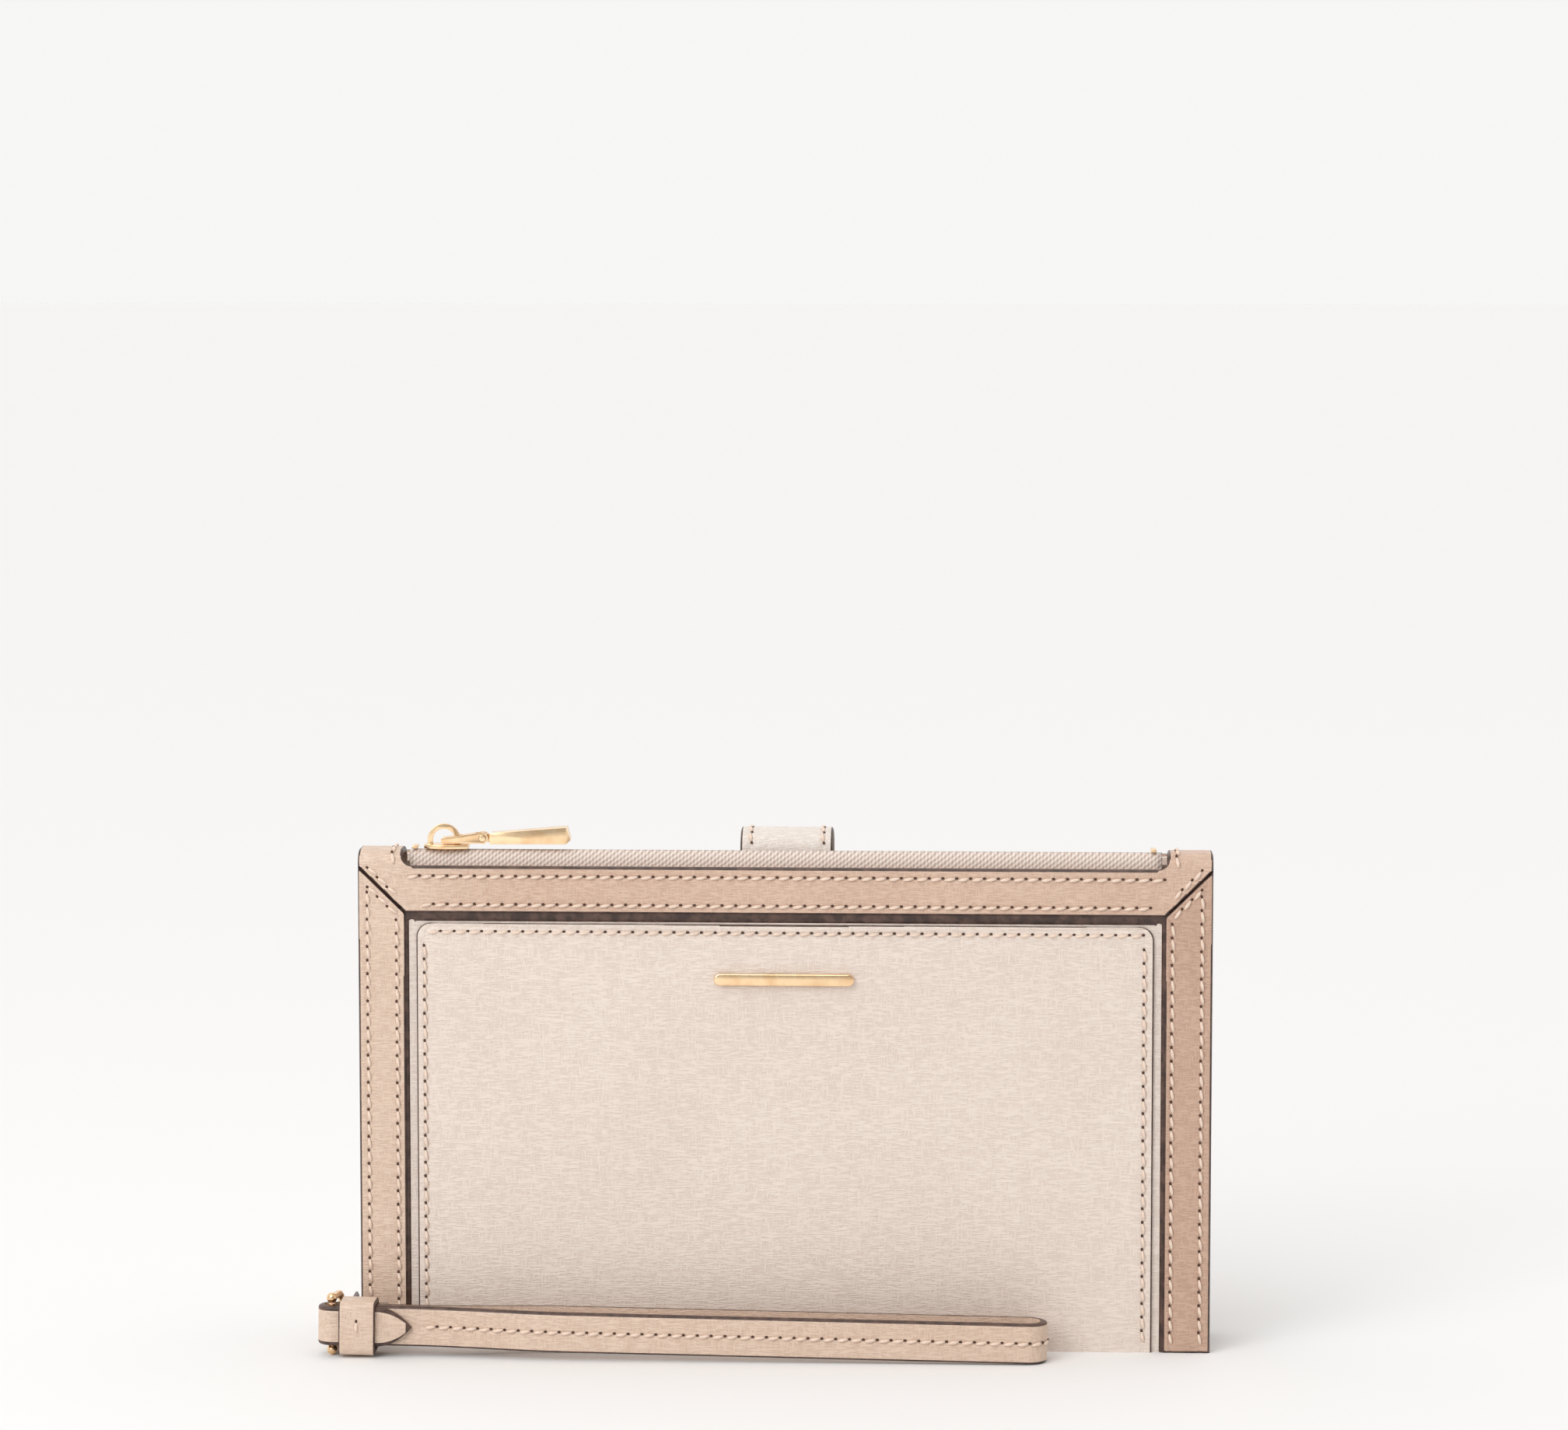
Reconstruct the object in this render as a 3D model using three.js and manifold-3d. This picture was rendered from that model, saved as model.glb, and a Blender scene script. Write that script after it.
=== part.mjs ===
// Wristlet wallet: a zipped pouch standing on its base, a card leaf hinged behind it, a snap tab over the
// leaf, and a wrist strap on a ball-ended shackle. Millimetres, +Z up, the front faces -Y, the origin is in
// the middle of the base where the wallet stands.
import * as THREE from 'three';
import { mergeVertices } from 'three/addons/utils/BufferGeometryUtils.js';
import Module from 'manifold-3d';

const wasm = await Module();
wasm.setup();

// ---- driving sizes ----
const width = 183; // pouch, along X
const height = 108; // pouch, along Z
const gap = 0.2; // between flat layers that are glued or sewn together
const clearance = 0.3; // around pieces that move or are cut to fit

const frontY = -11.5; // front face of the pouch
const stripThick = 2.2; // turned leather strip of the frame
const leatherThick = 1.0; // single leather wall
const panelDrop = 0.3; // the centre panel lies this much below the frame
const liningThick = 0.3;
const cavityDepth = 5.0; // room inside the pouch
const innerWallThick = 1.2;
const pocketThick = 0.4; // one pocket layer
const cardRoom = 4.8; // between pouch and leaf
const baseThick = 1.2;

const stripWidth = 10.2; // side strips of the frame
const topBandLow = height - 13.5; // lower edge of the top strip
const zipSlotLow = height - 3.5; // lower edge of the zip slot
const zipSlotEnd = 9.6; // from the pouch's end to the zip slot
const grooveWidth = 2.3; // between the frame and the centre panel
const badgeHalf = 15; // half the length of the bar on the centre panel
const badgeDrop = 11.7; // from the panel's top to the middle of the bar
const badgeRadius = 1.3;
const badgeThick = 1.0;
const panelRadius = 3.0;
const slotRadius = 2.4;
const topRadius = 3.2; // where the top strip turns over the pouch

const leafInset = 2.0; // the leaf is shorter than the pouch at each end
const leafDrop = 2.6; // the leaf's top is lower than the pouch's
const cardSlotCount = 3;
const cardSlotStep = 13; // between the mouths of the card slots
const cardSlotHigh = height - 21; // mouth of the highest card slot
const billPocketHigh = height - 46;
const pocketRadius = 2;

const tabWidth = 20; // snap tab
const tabThick = 1.2;
const tabCrest = height + 3.3;
const tabLow = height - 23; // lower end of the tab behind the leaf
const snapHigh = height - 9.5; // height of the press stud
const snapRadius = 3.6;
const studHole = 1.2; // radius of the hole for the stud's post

const sliderFromEnd = 9.0; // middle of the closed zip's slider, from the end of its slot
const sliderLength = 9.5;
const sliderWidth = 6.4;
const zipSlit = 1.1; // between the two tapes
const tapeThick = 0.6;
const coilThick = 0.9;
const bridgeRadius = 3.0; // centre line of the slider's bridge
const bridgeThick = 1.1;
const pullGap = 0.3; // between the pull and the ears it passes over
const linkLength = 8.4;
const linkWidth = 3.2;
const knuckleRadius = 1.25;
const pullPinRadius = 0.75;
const pullLength = 19;
const pullWidth = 4.6;
const pullThin = 2.3;
const pullThick = 3.7;

const pinFromEnd = 5.1; // upright pin of the shackle, outside the pouch's end
const bowFromPin = 1.2; // closed end of the bow, nearer the pouch than the pin
const bowFromFront = 2.5; // closed end of the bow, in front of the pouch
const pinRadius = 0.7;
const ballRadius = 1.15;
const bowRadius = 0.75; // round bar of the shackle
const sideTabBand = [3.6, 9.8]; // low and high edge of the tab that holds the shackle
const strapWidth = 8.6;
const strapThick = 1.5;
const endTabThick = 1.2;
const strapLength = 153; // from the pin to the far bend
const strapSpread = 5.6; // inside the loop
const openingLength = 34; // the runs of the loop part over this length
const pointLength = 7; // of the end tab
const keeperWidth = 7.8;
const keeperThick = 0.9;
const tipReach = 17.3; // from the pin to the point of the end tab

// ---- places that follow from them ----
const half = width / 2;
const stripBack = frontY + stripThick;
const backingY = stripBack + gap;
const liningY = backingY + leatherThick + gap;
const cavityY = liningY + liningThick;
const cavityBackY = cavityY + cavityDepth;
const innerWallY = cavityBackY + liningThick + gap;
const pouchBackY = innerWallY + innerWallThick;
const billPocketY = pouchBackY + gap;
const gapBackY = billPocketY + pocketThick + cardRoom;
const cardBackY = gapBackY + cardSlotCount * pocketThick + (cardSlotCount - 1) * gap;
const boardY = cardBackY + gap;
const leafBackingY = boardY + innerWallThick + gap;
const leafStripY = leafBackingY + leatherThick + gap;
const backY = leafStripY + stripThick;
const leafHalf = half - leafInset;
const leafTop = height - leafDrop;
const wallLow = baseThick + gap;
const windowHalf = half - stripWidth;
const panelHalf = windowHalf - grooveWidth;
const panelTop = topBandLow - grooveWidth;
const slotHalf = half - zipSlotEnd;
const zipY = (cavityY + cavityBackY) / 2;
const tapeCrest = height - 0.5;
const coilHigh = tapeCrest - tapeThick - 0.9;
const innerRoom = cavityDepth / 2 + liningThick; // from the zip's line to the walls beside it
const coilWidth = innerRoom - zipSlit / 2 - 2 * tapeThick - clearance / 2;
const sliderX = -slotHalf + sliderFromEnd;
const layerY = strapThick + gap * 1.5 + endTabThick / 2; // middle of the end tab's two layers
const keeperY = layerY + endTabThick / 2 + 0.25; // inside of the keeper
const tabBend = bowRadius + clearance + leatherThick / 2; // middle of the tab's turn round the bow
const bowBack = keeperY + keeperThick + clearance + tabBend + leatherThick / 2; // from pin to closed end
const pinX = -half - pinFromEnd;
const bowX = pinX + bowFromPin;
const bowY = frontY - bowFromFront;
const pinY = bowY - bowBack;

// ---- materials ----
const finish = (color, roughness, metalness = 0) =>
  new THREE.MeshStandardMaterial({ color, roughness, metalness });
const tanLeather = finish(0xd7b7a1, 0.5);
const paleLeather = finish(0xe6d8cc, 0.5);
const zipCloth = finish(0xe0d0c4, 0.85);
const lining = finish(0xd9cbbf, 0.9);
const gold = finish(0xe0b070, 0.25, 1);

// ---- helpers ----
const wallet = new THREE.Group();

function add(name, geometry, material, place = [0, 0, 0], parent = wallet) {
  const mesh = new THREE.Mesh(geometry, material);
  mesh.name = name;
  mesh.position.set(...place);
  parent.add(mesh);
  return mesh;
}

// A box between two corners.
function block(x, y, z) {
  const box = new THREE.BoxGeometry(x[1] - x[0], y[1] - y[0], z[1] - z[0]);
  return box.translate((x[0] + x[1]) / 2, (y[0] + y[1]) / 2, (z[0] + z[1]) / 2);
}

function outline(points) {
  return new THREE.Shape(points.map(([a, b]) => new THREE.Vector2(a, b)));
}

// A rectangle with each corner rounded by its own radius: low left, low right, high right, high left.
function roundedRect(a0, a1, b0, b1, radii) {
  const s = new THREE.Shape();
  const [r0, r1, r2, r3] = radii;
  s.moveTo(a0 + r0, b0);
  s.lineTo(a1 - r1, b0);
  if (r1) s.absarc(a1 - r1, b0 + r1, r1, -Math.PI / 2, 0);
  s.lineTo(a1, b1 - r2);
  if (r2) s.absarc(a1 - r2, b1 - r2, r2, 0, Math.PI / 2);
  s.lineTo(a0 + r3, b1);
  if (r3) s.absarc(a0 + r3, b1 - r3, r3, Math.PI / 2, Math.PI);
  s.lineTo(a0, b0 + r0);
  if (r0) s.absarc(a0 + r0, b0 + r0, r0, Math.PI, 1.5 * Math.PI);
  return s;
}

const extrude = (shape, depth) =>
  new THREE.ExtrudeGeometry(shape, { depth, bevelEnabled: false, curveSegments: 5 });

// An (x, z) outline between two depths.
function frontCut(shape, y0, y1) {
  return extrude(shape, y1 - y0).rotateX(Math.PI / 2).translate(0, y1, 0);
}

// A (y, z) outline between two lengths.
function sideCut(shape, x0, x1) {
  const turn = new THREE.Matrix4().makeBasis(
    new THREE.Vector3(0, 1, 0),
    new THREE.Vector3(0, 0, 1),
    new THREE.Vector3(1, 0, 0),
  );
  return extrude(shape, x1 - x0).applyMatrix4(turn).translate(x0, 0, 0);
}

// An (x, y) outline between two heights.
const planCut = (shape, z0, z1) => extrude(shape, z1 - z0).translate(0, 0, z0);

function solid(geometry) {
  const bare = geometry.index ? geometry.toNonIndexed() : geometry.clone();
  bare.deleteAttribute('normal');
  bare.deleteAttribute('uv');
  const merged = mergeVertices(bare, 1e-4);
  return new wasm.Manifold(
    new wasm.Mesh({
      numProp: 3,
      vertProperties: merged.attributes.position.array,
      triVerts: new Uint32Array(merged.index.array),
    }),
  );
}

function geometryOf(manifold) {
  const mesh = manifold.getMesh();
  const geometry = new THREE.BufferGeometry();
  geometry.setAttribute('position', new THREE.BufferAttribute(new Float32Array(mesh.vertProperties), 3));
  geometry.setIndex(new THREE.BufferAttribute(new Uint32Array(mesh.triVerts), 1));
  return geometry;
}

const joined = (...parts) => geometryOf(parts.map(solid).reduce((a, b) => a.add(b)));
const cut = (base, ...tools) => geometryOf(tools.map(solid).reduce((a, b) => a.subtract(b), solid(base)));

// A band of constant thickness whose middle follows a list of points in a plane.
function bandShape(points, thick) {
  const curve = points.map(([a, b]) => new THREE.Vector2(a, b));
  const left = [];
  const right = [];
  curve.forEach((p, i) => {
    const before = curve[Math.max(i - 1, 0)];
    const after = curve[Math.min(i + 1, curve.length - 1)];
    const along = after.clone().sub(before).normalize();
    const side = new THREE.Vector2(-along.y, along.x).multiplyScalar(thick / 2);
    left.push(p.clone().add(side));
    right.unshift(p.clone().sub(side));
  });
  return new THREE.Shape([...left, ...right]);
}

// Points on an arc round a centre, from one angle to another in radians.
function arcPoints(a, b, radius, from, to, steps, radiusB = radius) {
  return Array.from({ length: steps + 1 }, (_, i) => {
    const t = from + ((to - from) * i) / steps;
    return [a + radius * Math.cos(t), b + radiusB * Math.sin(t)];
  });
}

const turnY = (radius, length, segments = 20) =>
  new THREE.CylinderGeometry(radius, radius, length, segments);
const upright = (geometry) => geometry.rotateX(Math.PI / 2);

// ---- leather frame of three strips ----
// Side strip with a slanted top end that meets the top strip in a mitre; side is -1 left or 1 right.
function sideStrip(side, end, inner, low, mitreOut, mitreIn, y0, y1) {
  const drop = gap * 1.5;
  const points = [
    [side * inner, low],
    [side * end, low],
    [side * end, mitreOut - drop],
    [side * inner, mitreIn - drop],
  ];
  return frontCut(outline(side > 0 ? points : points.reverse()), y0, y1);
}

const topFold = (() => {
  const high = height;
  const shape = new THREE.Shape();
  shape.moveTo(frontY, topBandLow);
  shape.lineTo(stripBack, topBandLow);
  shape.lineTo(stripBack, high - stripThick - 1.2);
  shape.lineTo(stripBack + 1.2, high - stripThick);
  shape.lineTo(innerWallY - 1.0, high - stripThick);
  shape.lineTo(innerWallY, high - stripThick - 1.0);
  shape.lineTo(innerWallY, topBandLow);
  shape.lineTo(pouchBackY, topBandLow);
  shape.lineTo(pouchBackY, high - topRadius);
  shape.absarc(pouchBackY - topRadius, high - topRadius, topRadius, 0, Math.PI / 2);
  shape.lineTo(frontY + topRadius, high);
  shape.absarc(frontY + topRadius, high - topRadius, topRadius, Math.PI / 2, Math.PI);
  return shape;
})();

{
  const fold = sideCut(topFold, -half, half);
  const slot = roundedRect(-slotHalf, slotHalf, zipSlotLow, height + 10, [slotRadius, slotRadius, 0, 0]);
  const mitres = [-1, 1].map((side) => {
    const points = [
      [side * (windowHalf - 0.01), topBandLow - 1],
      [side * (half + 1), topBandLow - 1],
      [side * (half + 1), zipSlotLow],
      [side * half, zipSlotLow],
      [side * (windowHalf - 0.01), topBandLow],
    ];
    return frontCut(outline(side > 0 ? points : points.reverse()), frontY - 1, stripBack + gap / 2);
  });
  add('frame_top', cut(fold, frontCut(slot, frontY - 1, pouchBackY + 1), ...mitres), tanLeather);
}
for (const [name, side] of [['left', -1], ['right', 1]]) {
  const strip = sideStrip(side, half, windowHalf, 0, zipSlotLow, topBandLow, frontY, stripBack);
  add(`frame_${name}`, strip, tanLeather);
}

// ---- front wall, centre panel and badge ----
const backingHigh = zipSlotLow - 0.6;
const backing = block([-half, half], [backingY, backingY + leatherThick], [wallLow, backingHigh]);
add('front_backing', backing, paleLeather);
const panelShape = roundedRect(-panelHalf, panelHalf, 0, panelTop, [0, 0, panelRadius, panelRadius]);
add('front_panel', frontCut(panelShape, frontY + panelDrop, stripBack), paleLeather);
const badgeBand = [panelTop - badgeDrop - badgeRadius, panelTop - badgeDrop + badgeRadius];
const badgeBar = roundedRect(-badgeHalf, badgeHalf, ...badgeBand, Array(4).fill(badgeRadius));
const badgeFace = frontY + panelDrop - gap;
add('bar_badge', frontCut(badgeBar, badgeFace - badgeThick, badgeFace), gold);

// ---- inside of the pouch ----
const innerHalf = half - 1.5;
const wallBand = [wallLow, topBandLow - gap];
add('pouch_inner_wall', block([-innerHalf, innerHalf], [innerWallY, pouchBackY], wallBand), paleLeather);
for (const [name, side] of [['left', -1], ['right', 1]]) {
  const x = [side * (half - 2.2), side * (half - 3.2)].sort((a, b) => a - b);
  const y = [liningY, innerWallY - gap];
  add(`gusset_${name}`, block(x, y, [wallLow, height - stripThick - 1.6]), tanLeather);
}
{
  const bagHalf = half - 3.6;
  const bag = block([-bagHalf, bagHalf], [liningY, cavityBackY + liningThick], [wallLow, zipSlotLow - 4.6]);
  const room = block([-bagHalf - 1, bagHalf + 1], [cavityY, cavityBackY], [wallLow + liningThick, height]);
  add('pouch_lining', cut(bag, room), lining);
}
const pocketCorners = [0, 0, pocketRadius, pocketRadius];
const billPocket = roundedRect(-innerHalf + 3, innerHalf - 3, wallLow, billPocketHigh, pocketCorners);
add('bill_pocket', frontCut(billPocket, billPocketY, billPocketY + pocketThick), paleLeather);
const spine = block([-panelHalf + 1, panelHalf - 1], [stripBack + gap, backY - gap], [0, baseThick]);
add('base_spine', spine, paleLeather);

// ---- zip: two tapes, two coil rows, two stops ----
{
  const rise = tapeCrest - tapeThick / 2 - (zipSlotLow - 0.5);
  const reach = zipY - zipSlit / 2 - tapeThick / 2 - liningY;
  const rowX = [-slotHalf + 1.2, slotHalf - 1.2];
  for (const [name, side] of [['front', -1], ['back', 1]]) {
    const centre = [zipY + (side * zipSlit) / 2, zipSlotLow - 0.5];
    const bow = arcPoints(...centre, reach, Math.PI / 2, Math.PI, 7, rise);
    const points = [...bow, [centre[0] - reach, zipSlotLow - 4]].map(([y, z]) => [
      side < 0 ? y : 2 * centre[0] - y,
      z,
    ]);
    const shape = bandShape(side < 0 ? points : points.reverse(), tapeThick);
    add(`zip_tape_${name}`, sideCut(shape, ...rowX), zipCloth);
    const near = zipY + (side * zipSlit) / 2;
    const y = [near, near + side * coilWidth].sort((a, b) => a - b);
    const z = [coilHigh - coilThick, coilHigh];
    add(`zip_coil_${name}`, block([rowX[0] + 2, rowX[1] - 2], y, z), zipCloth);
  }
}
const stopHigh = tapeCrest + clearance;
const stopPlaces = [['closed', sliderX - sliderLength / 2 - 2.0], ['open', slotHalf - 3.0]];
for (const [name, x] of stopPlaces) {
  const crossbar = block([x - 0.6, x + 0.6], [zipY - 2, zipY + 2], [stopHigh, stopHigh + 0.6]);
  add(`zip_stop_${name}`, crossbar, gold);
}

// ---- slider, pull link, pin and pull tab ----
const sliderTop = tapeCrest + clearance + 0.8;
const bridgeCentre = [sliderX - 0.6, sliderTop + 0.9];
{
  const x = [sliderX - sliderLength / 2, sliderX + sliderLength / 2];
  const plate = (y, z0, z1) => {
    const shape = new THREE.Shape();
    shape.moveTo(x[0], -y * 0.55);
    shape.quadraticCurveTo(x[0] + 2, -y * 0.95, sliderX, -y);
    shape.lineTo(x[1], -y * 0.8);
    shape.lineTo(x[1], y * 0.8);
    shape.lineTo(sliderX, y);
    shape.quadraticCurveTo(x[0] + 2, y * 0.95, x[0], y * 0.55);
    return planCut(shape, z0, z1).translate(0, zipY, 0);
  };
  const top = plate(sliderWidth / 2, tapeCrest + clearance, sliderTop);
  const low = coilHigh - coilThick - clearance;
  const bottom = plate(innerRoom - tapeThick - 2 * clearance, low - 0.8, low);
  const webHalf = zipSlit / 2 - clearance;
  const web = block([x[0] + 1.2, x[0] + 4], [zipY - webHalf, zipY + webHalf], [low - 0.6, sliderTop - 0.2]);
  const arch = bandShape(arcPoints(...bridgeCentre, bridgeRadius, -0.42, Math.PI + 0.42, 14), bridgeThick);
  const bridge = frontCut(arch, zipY - bridgeThick / 2, zipY + bridgeThick / 2);
  add('zip_slider', joined(top, bottom, web, bridge), gold);
}
const overEars = height + pullGap + knuckleRadius;
const overSlider = sliderTop + clearance + knuckleRadius * 0.9;
const knuckle = [bridgeCentre[0] + linkLength, Math.max(bridgeCentre[1], overEars, overSlider)];
{
  const thin = 0.6;
  const body = new THREE.Shape();
  body.moveTo(bridgeCentre[0], bridgeCentre[1] - thin);
  body.lineTo(knuckle[0] - knuckleRadius * 0.6, knuckle[1] - knuckleRadius * 0.9);
  body.absarc(knuckle[0], knuckle[1], knuckleRadius, -Math.PI * 0.42, Math.PI * 0.42);
  body.lineTo(knuckle[0] - knuckleRadius * 0.6, knuckle[1] + knuckleRadius * 0.9);
  body.lineTo(bridgeCentre[0], bridgeCentre[1] + thin);
  body.absarc(bridgeCentre[0], bridgeCentre[1], thin, Math.PI / 2, 1.5 * Math.PI);
  const y = [zipY - linkWidth / 2, zipY + linkWidth / 2];
  const eyeIn = bridgeRadius - bridgeThick / 2 - clearance;
  const eyeOut = bridgeRadius + bridgeThick / 2 + clearance;
  const eyeHalf = bridgeThick / 2 + clearance;
  const eye = block(
    [bridgeCentre[0] + eyeIn, bridgeCentre[0] + eyeOut],
    [zipY - eyeHalf, zipY + eyeHalf],
    [height - 3, height + 9],
  );
  const mouth = block(
    [knuckle[0] - knuckleRadius - clearance, knuckle[0] + knuckleRadius + 1],
    [zipY - linkWidth / 6 - clearance, zipY + linkWidth / 6 + clearance],
    [height - 3, height + 9],
  );
  const bore = turnY(pullPinRadius + 0.1, linkWidth + 2).translate(knuckle[0], zipY, knuckle[1]);
  add('pull_link', cut(frontCut(body, ...y), eye, mouth, bore), gold);
  const pinLong = linkWidth + 0.5;
  add('pull_pin', turnY(pullPinRadius, pinLong), gold, [knuckle[0], zipY, knuckle[1]]);
}
{
  const start = knuckle[0] + knuckleRadius + clearance;
  const end = knuckle[0] + pullLength;
  const low = knuckle[1] - knuckleRadius;
  const side = outline([
    [start, low],
    [end - 0.9, low + 0.15],
    [end, low + 1.0],
    [end - 0.9, low + pullThick],
    [start + 0.3, low + pullThin + 0.1],
    [start, low + pullThin - 0.2],
  ]);
  const face = outline([
    [start, -pullWidth * 0.36],
    [end - 0.9, -pullWidth / 2],
    [end, -pullWidth / 2 + 0.7],
    [end, pullWidth / 2 - 0.7],
    [end - 0.9, pullWidth / 2],
    [start, pullWidth * 0.36],
  ]);
  const bar = solid(frontCut(side, zipY - pullWidth / 2, zipY + pullWidth / 2)).intersect(
    solid(planCut(face, low - 1, low + pullThick + 1).translate(0, zipY, 0)),
  );
  const eyeHalf = linkWidth / 6;
  const neckBand = [low + 0.35, low + 2 * knuckleRadius - 0.35];
  const neck = solid(block([knuckle[0], start + 0.4], [zipY - eyeHalf, zipY + eyeHalf], neckBand));
  const round = solid(turnY(knuckleRadius - 0.1, 2 * eyeHalf).translate(knuckle[0], zipY, knuckle[1]));
  const bore = solid(turnY(pullPinRadius + 0.1, 9).translate(knuckle[0], zipY, knuckle[1]));
  add('pull_tab', geometryOf(bar.add(neck).add(round).subtract(bore)), gold);
}

// ---- leaf: frame, panel, backing, board and card slots ----
const leafWindow = leafHalf - stripWidth;
const leafMitre = leafTop - 1.6;
for (const [name, side] of [['left', -1], ['right', 1]]) {
  const strip = sideStrip(side, leafHalf, leafWindow, wallLow, leafMitre, topBandLow, leafStripY, backY);
  add(`leaf_frame_${name}`, strip, tanLeather);
}
const leafTopStrip = outline([
  [-leafHalf, leafMitre],
  [-leafWindow, topBandLow],
  [leafWindow, topBandLow],
  [leafHalf, leafMitre],
  [leafHalf, leafTop],
  [-leafHalf, leafTop],
]);
add('leaf_frame_top', frontCut(leafTopStrip, leafStripY, backY), tanLeather);
const leafPanelHalf = leafWindow - grooveWidth;
const panelCorners = [0, 0, panelRadius, panelRadius];
const leafPanel = roundedRect(-leafPanelHalf, leafPanelHalf, wallLow, panelTop, panelCorners);
add('leaf_panel', frontCut(leafPanel, leafStripY, backY - panelDrop), paleLeather);
const leafBackingShape = block(
  [-leafHalf, leafHalf],
  [leafBackingY, leafBackingY + leatherThick],
  [wallLow, leafTop - 0.4],
);
add('leaf_backing', leafBackingShape, paleLeather);
const boardHalf = leafHalf - 0.5;
const board = block([-boardHalf, boardHalf], [boardY, boardY + innerWallThick], [wallLow, leafTop - 0.4]);
add('leaf_board', board, paleLeather);
for (let i = 0; i < cardSlotCount; i += 1) {
  const y = cardBackY - i * (pocketThick + gap);
  const high = cardSlotHigh - i * cardSlotStep;
  const layer = roundedRect(-leafHalf + 2, leafHalf - 2, wallLow + 1, high, pocketCorners);
  add(`card_slot_${i + 1}`, frontCut(layer, y - pocketThick, y), paleLeather);
}

// ---- snap tab: a strap sewn behind the leaf that arches over it, and its flap with the press stud ----
const tabBackY = backY + gap + tabThick / 2;
const tabFrontY = pouchBackY + 1.5 + tabThick / 2;
const tabSpring = height - 1.5; // where the arch begins
{
  const centre = (tabBackY + tabFrontY) / 2;
  const reach = (tabBackY - tabFrontY) / 2;
  const rise = tabCrest - tabThick / 2 - tabSpring;
  const arch = arcPoints(centre, tabSpring, reach, 0, Math.PI, 14, rise);
  const band = sideCut(bandShape([[tabBackY, tabLow], ...arch], tabThick), -tabWidth / 2, tabWidth / 2);
  add('snap_tab', band, paleLeather);
  const x = [-tabWidth / 2, tabWidth / 2];
  const y = [tabFrontY - tabThick / 2, tabFrontY + tabThick / 2];
  const flapShape = roundedRect(...x, snapHigh - snapRadius - 1.2, tabSpring - clearance, [3, 3, 0, 0]);
  const hole = turnY(studHole, 8).translate(0, tabFrontY, snapHigh);
  add('snap_flap', cut(frontCut(flapShape, ...y), hole), paleLeather);
}
{
  // The stud on the tab: a cap behind the leather and a round head that clicks into the socket.
  const face = tabFrontY - tabThick / 2;
  const lathe = (points) =>
    new THREE.LatheGeometry(points.map(([r, t]) => new THREE.Vector2(r, t)), 24);
  const cap = lathe([[0, 0], [snapRadius, 0], [snapRadius, 0.35], [snapRadius * 0.7, 0.7], [0, 0.8]]);
  add('snap_cap', cap, gold, [0, tabFrontY + tabThick / 2 + 0.1, snapHigh]);
  const rim = snapRadius * 0.7;
  const stud = lathe([[0, 0], [1.3, 0], [1.5, 0.3], [1.2, 0.65], [rim, 0.65], [rim, 0.95], [0, 0.95]]);
  add('snap_stud', stud, gold, [0, face - 1.05, snapHigh]);
  const seat = pouchBackY + 0.1;
  const dish = [[1.9, 0.45], [1.9, 0.3], [0, 0.3]];
  const socket = lathe([[0, 0], [snapRadius, 0], [snapRadius, 0.25], [snapRadius * 0.8, 0.45], ...dish]);
  add('snap_socket', socket, gold, [0, seat, snapHigh]);
}

// ---- side tab, shackle and its pin ----
const ballLow = ballRadius;
const ballHigh = ballLow + 2 * ballRadius + strapWidth + 0.3;
{
  const sideX = -half - clearance - leatherThick / 2;
  const bend = arcPoints(bowX, bowY, tabBend, -Math.PI, 0, 10);
  const flap = [[bowX - tabBend, bowY + 1.0], ...bend, [sideX, bowY + 3.2], [sideX, innerWallY]];
  const loop = planCut(bandShape(flap, leatherThick), ...sideTabBand);
  add('strap_tab', loop, tanLeather);
}
{
  const corner = 2.4;
  const centreZ = [ballLow + corner, ballHigh - corner];
  const back = Math.hypot(bowX - pinX, bowBack);
  const path = new THREE.CurvePath();
  const at = (run, z) =>
    new THREE.Vector3(pinX + ((bowX - pinX) * run) / back, pinY + (bowBack * run) / back, z);
  path.add(new THREE.LineCurve3(at(0, ballLow), at(back - corner, ballLow)));
  const turn = (...corners) => path.add(new THREE.QuadraticBezierCurve3(...corners));
  turn(at(back - corner, ballLow), at(back, ballLow), at(back, centreZ[0]));
  path.add(new THREE.LineCurve3(at(back, centreZ[0]), at(back, centreZ[1])));
  turn(at(back, centreZ[1]), at(back, ballHigh), at(back - corner, ballHigh));
  path.add(new THREE.LineCurve3(at(back - corner, ballHigh), at(0, ballHigh)));
  const section = new THREE.Shape().absarc(0, 0, bowRadius, 0, 2 * Math.PI);
  const bar = new THREE.ExtrudeGeometry(section, {
    steps: 36,
    extrudePath: path,
    bevelEnabled: false,
    curveSegments: 5,
  });
  const ball = (z) => new THREE.SphereGeometry(ballRadius, 16, 10).translate(pinX, pinY, z);
  const balls = [ballLow, ballHigh].map(ball);
  add('shackle_bow', joined(bar, ...balls), gold);
  const pinLong = ballHigh - ballLow - 2 * ballRadius - 0.2;
  add('shackle_pin', upright(turnY(pinRadius, pinLong, 16)), gold, [pinX, pinY, (ballLow + ballHigh) / 2]);
}

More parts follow.
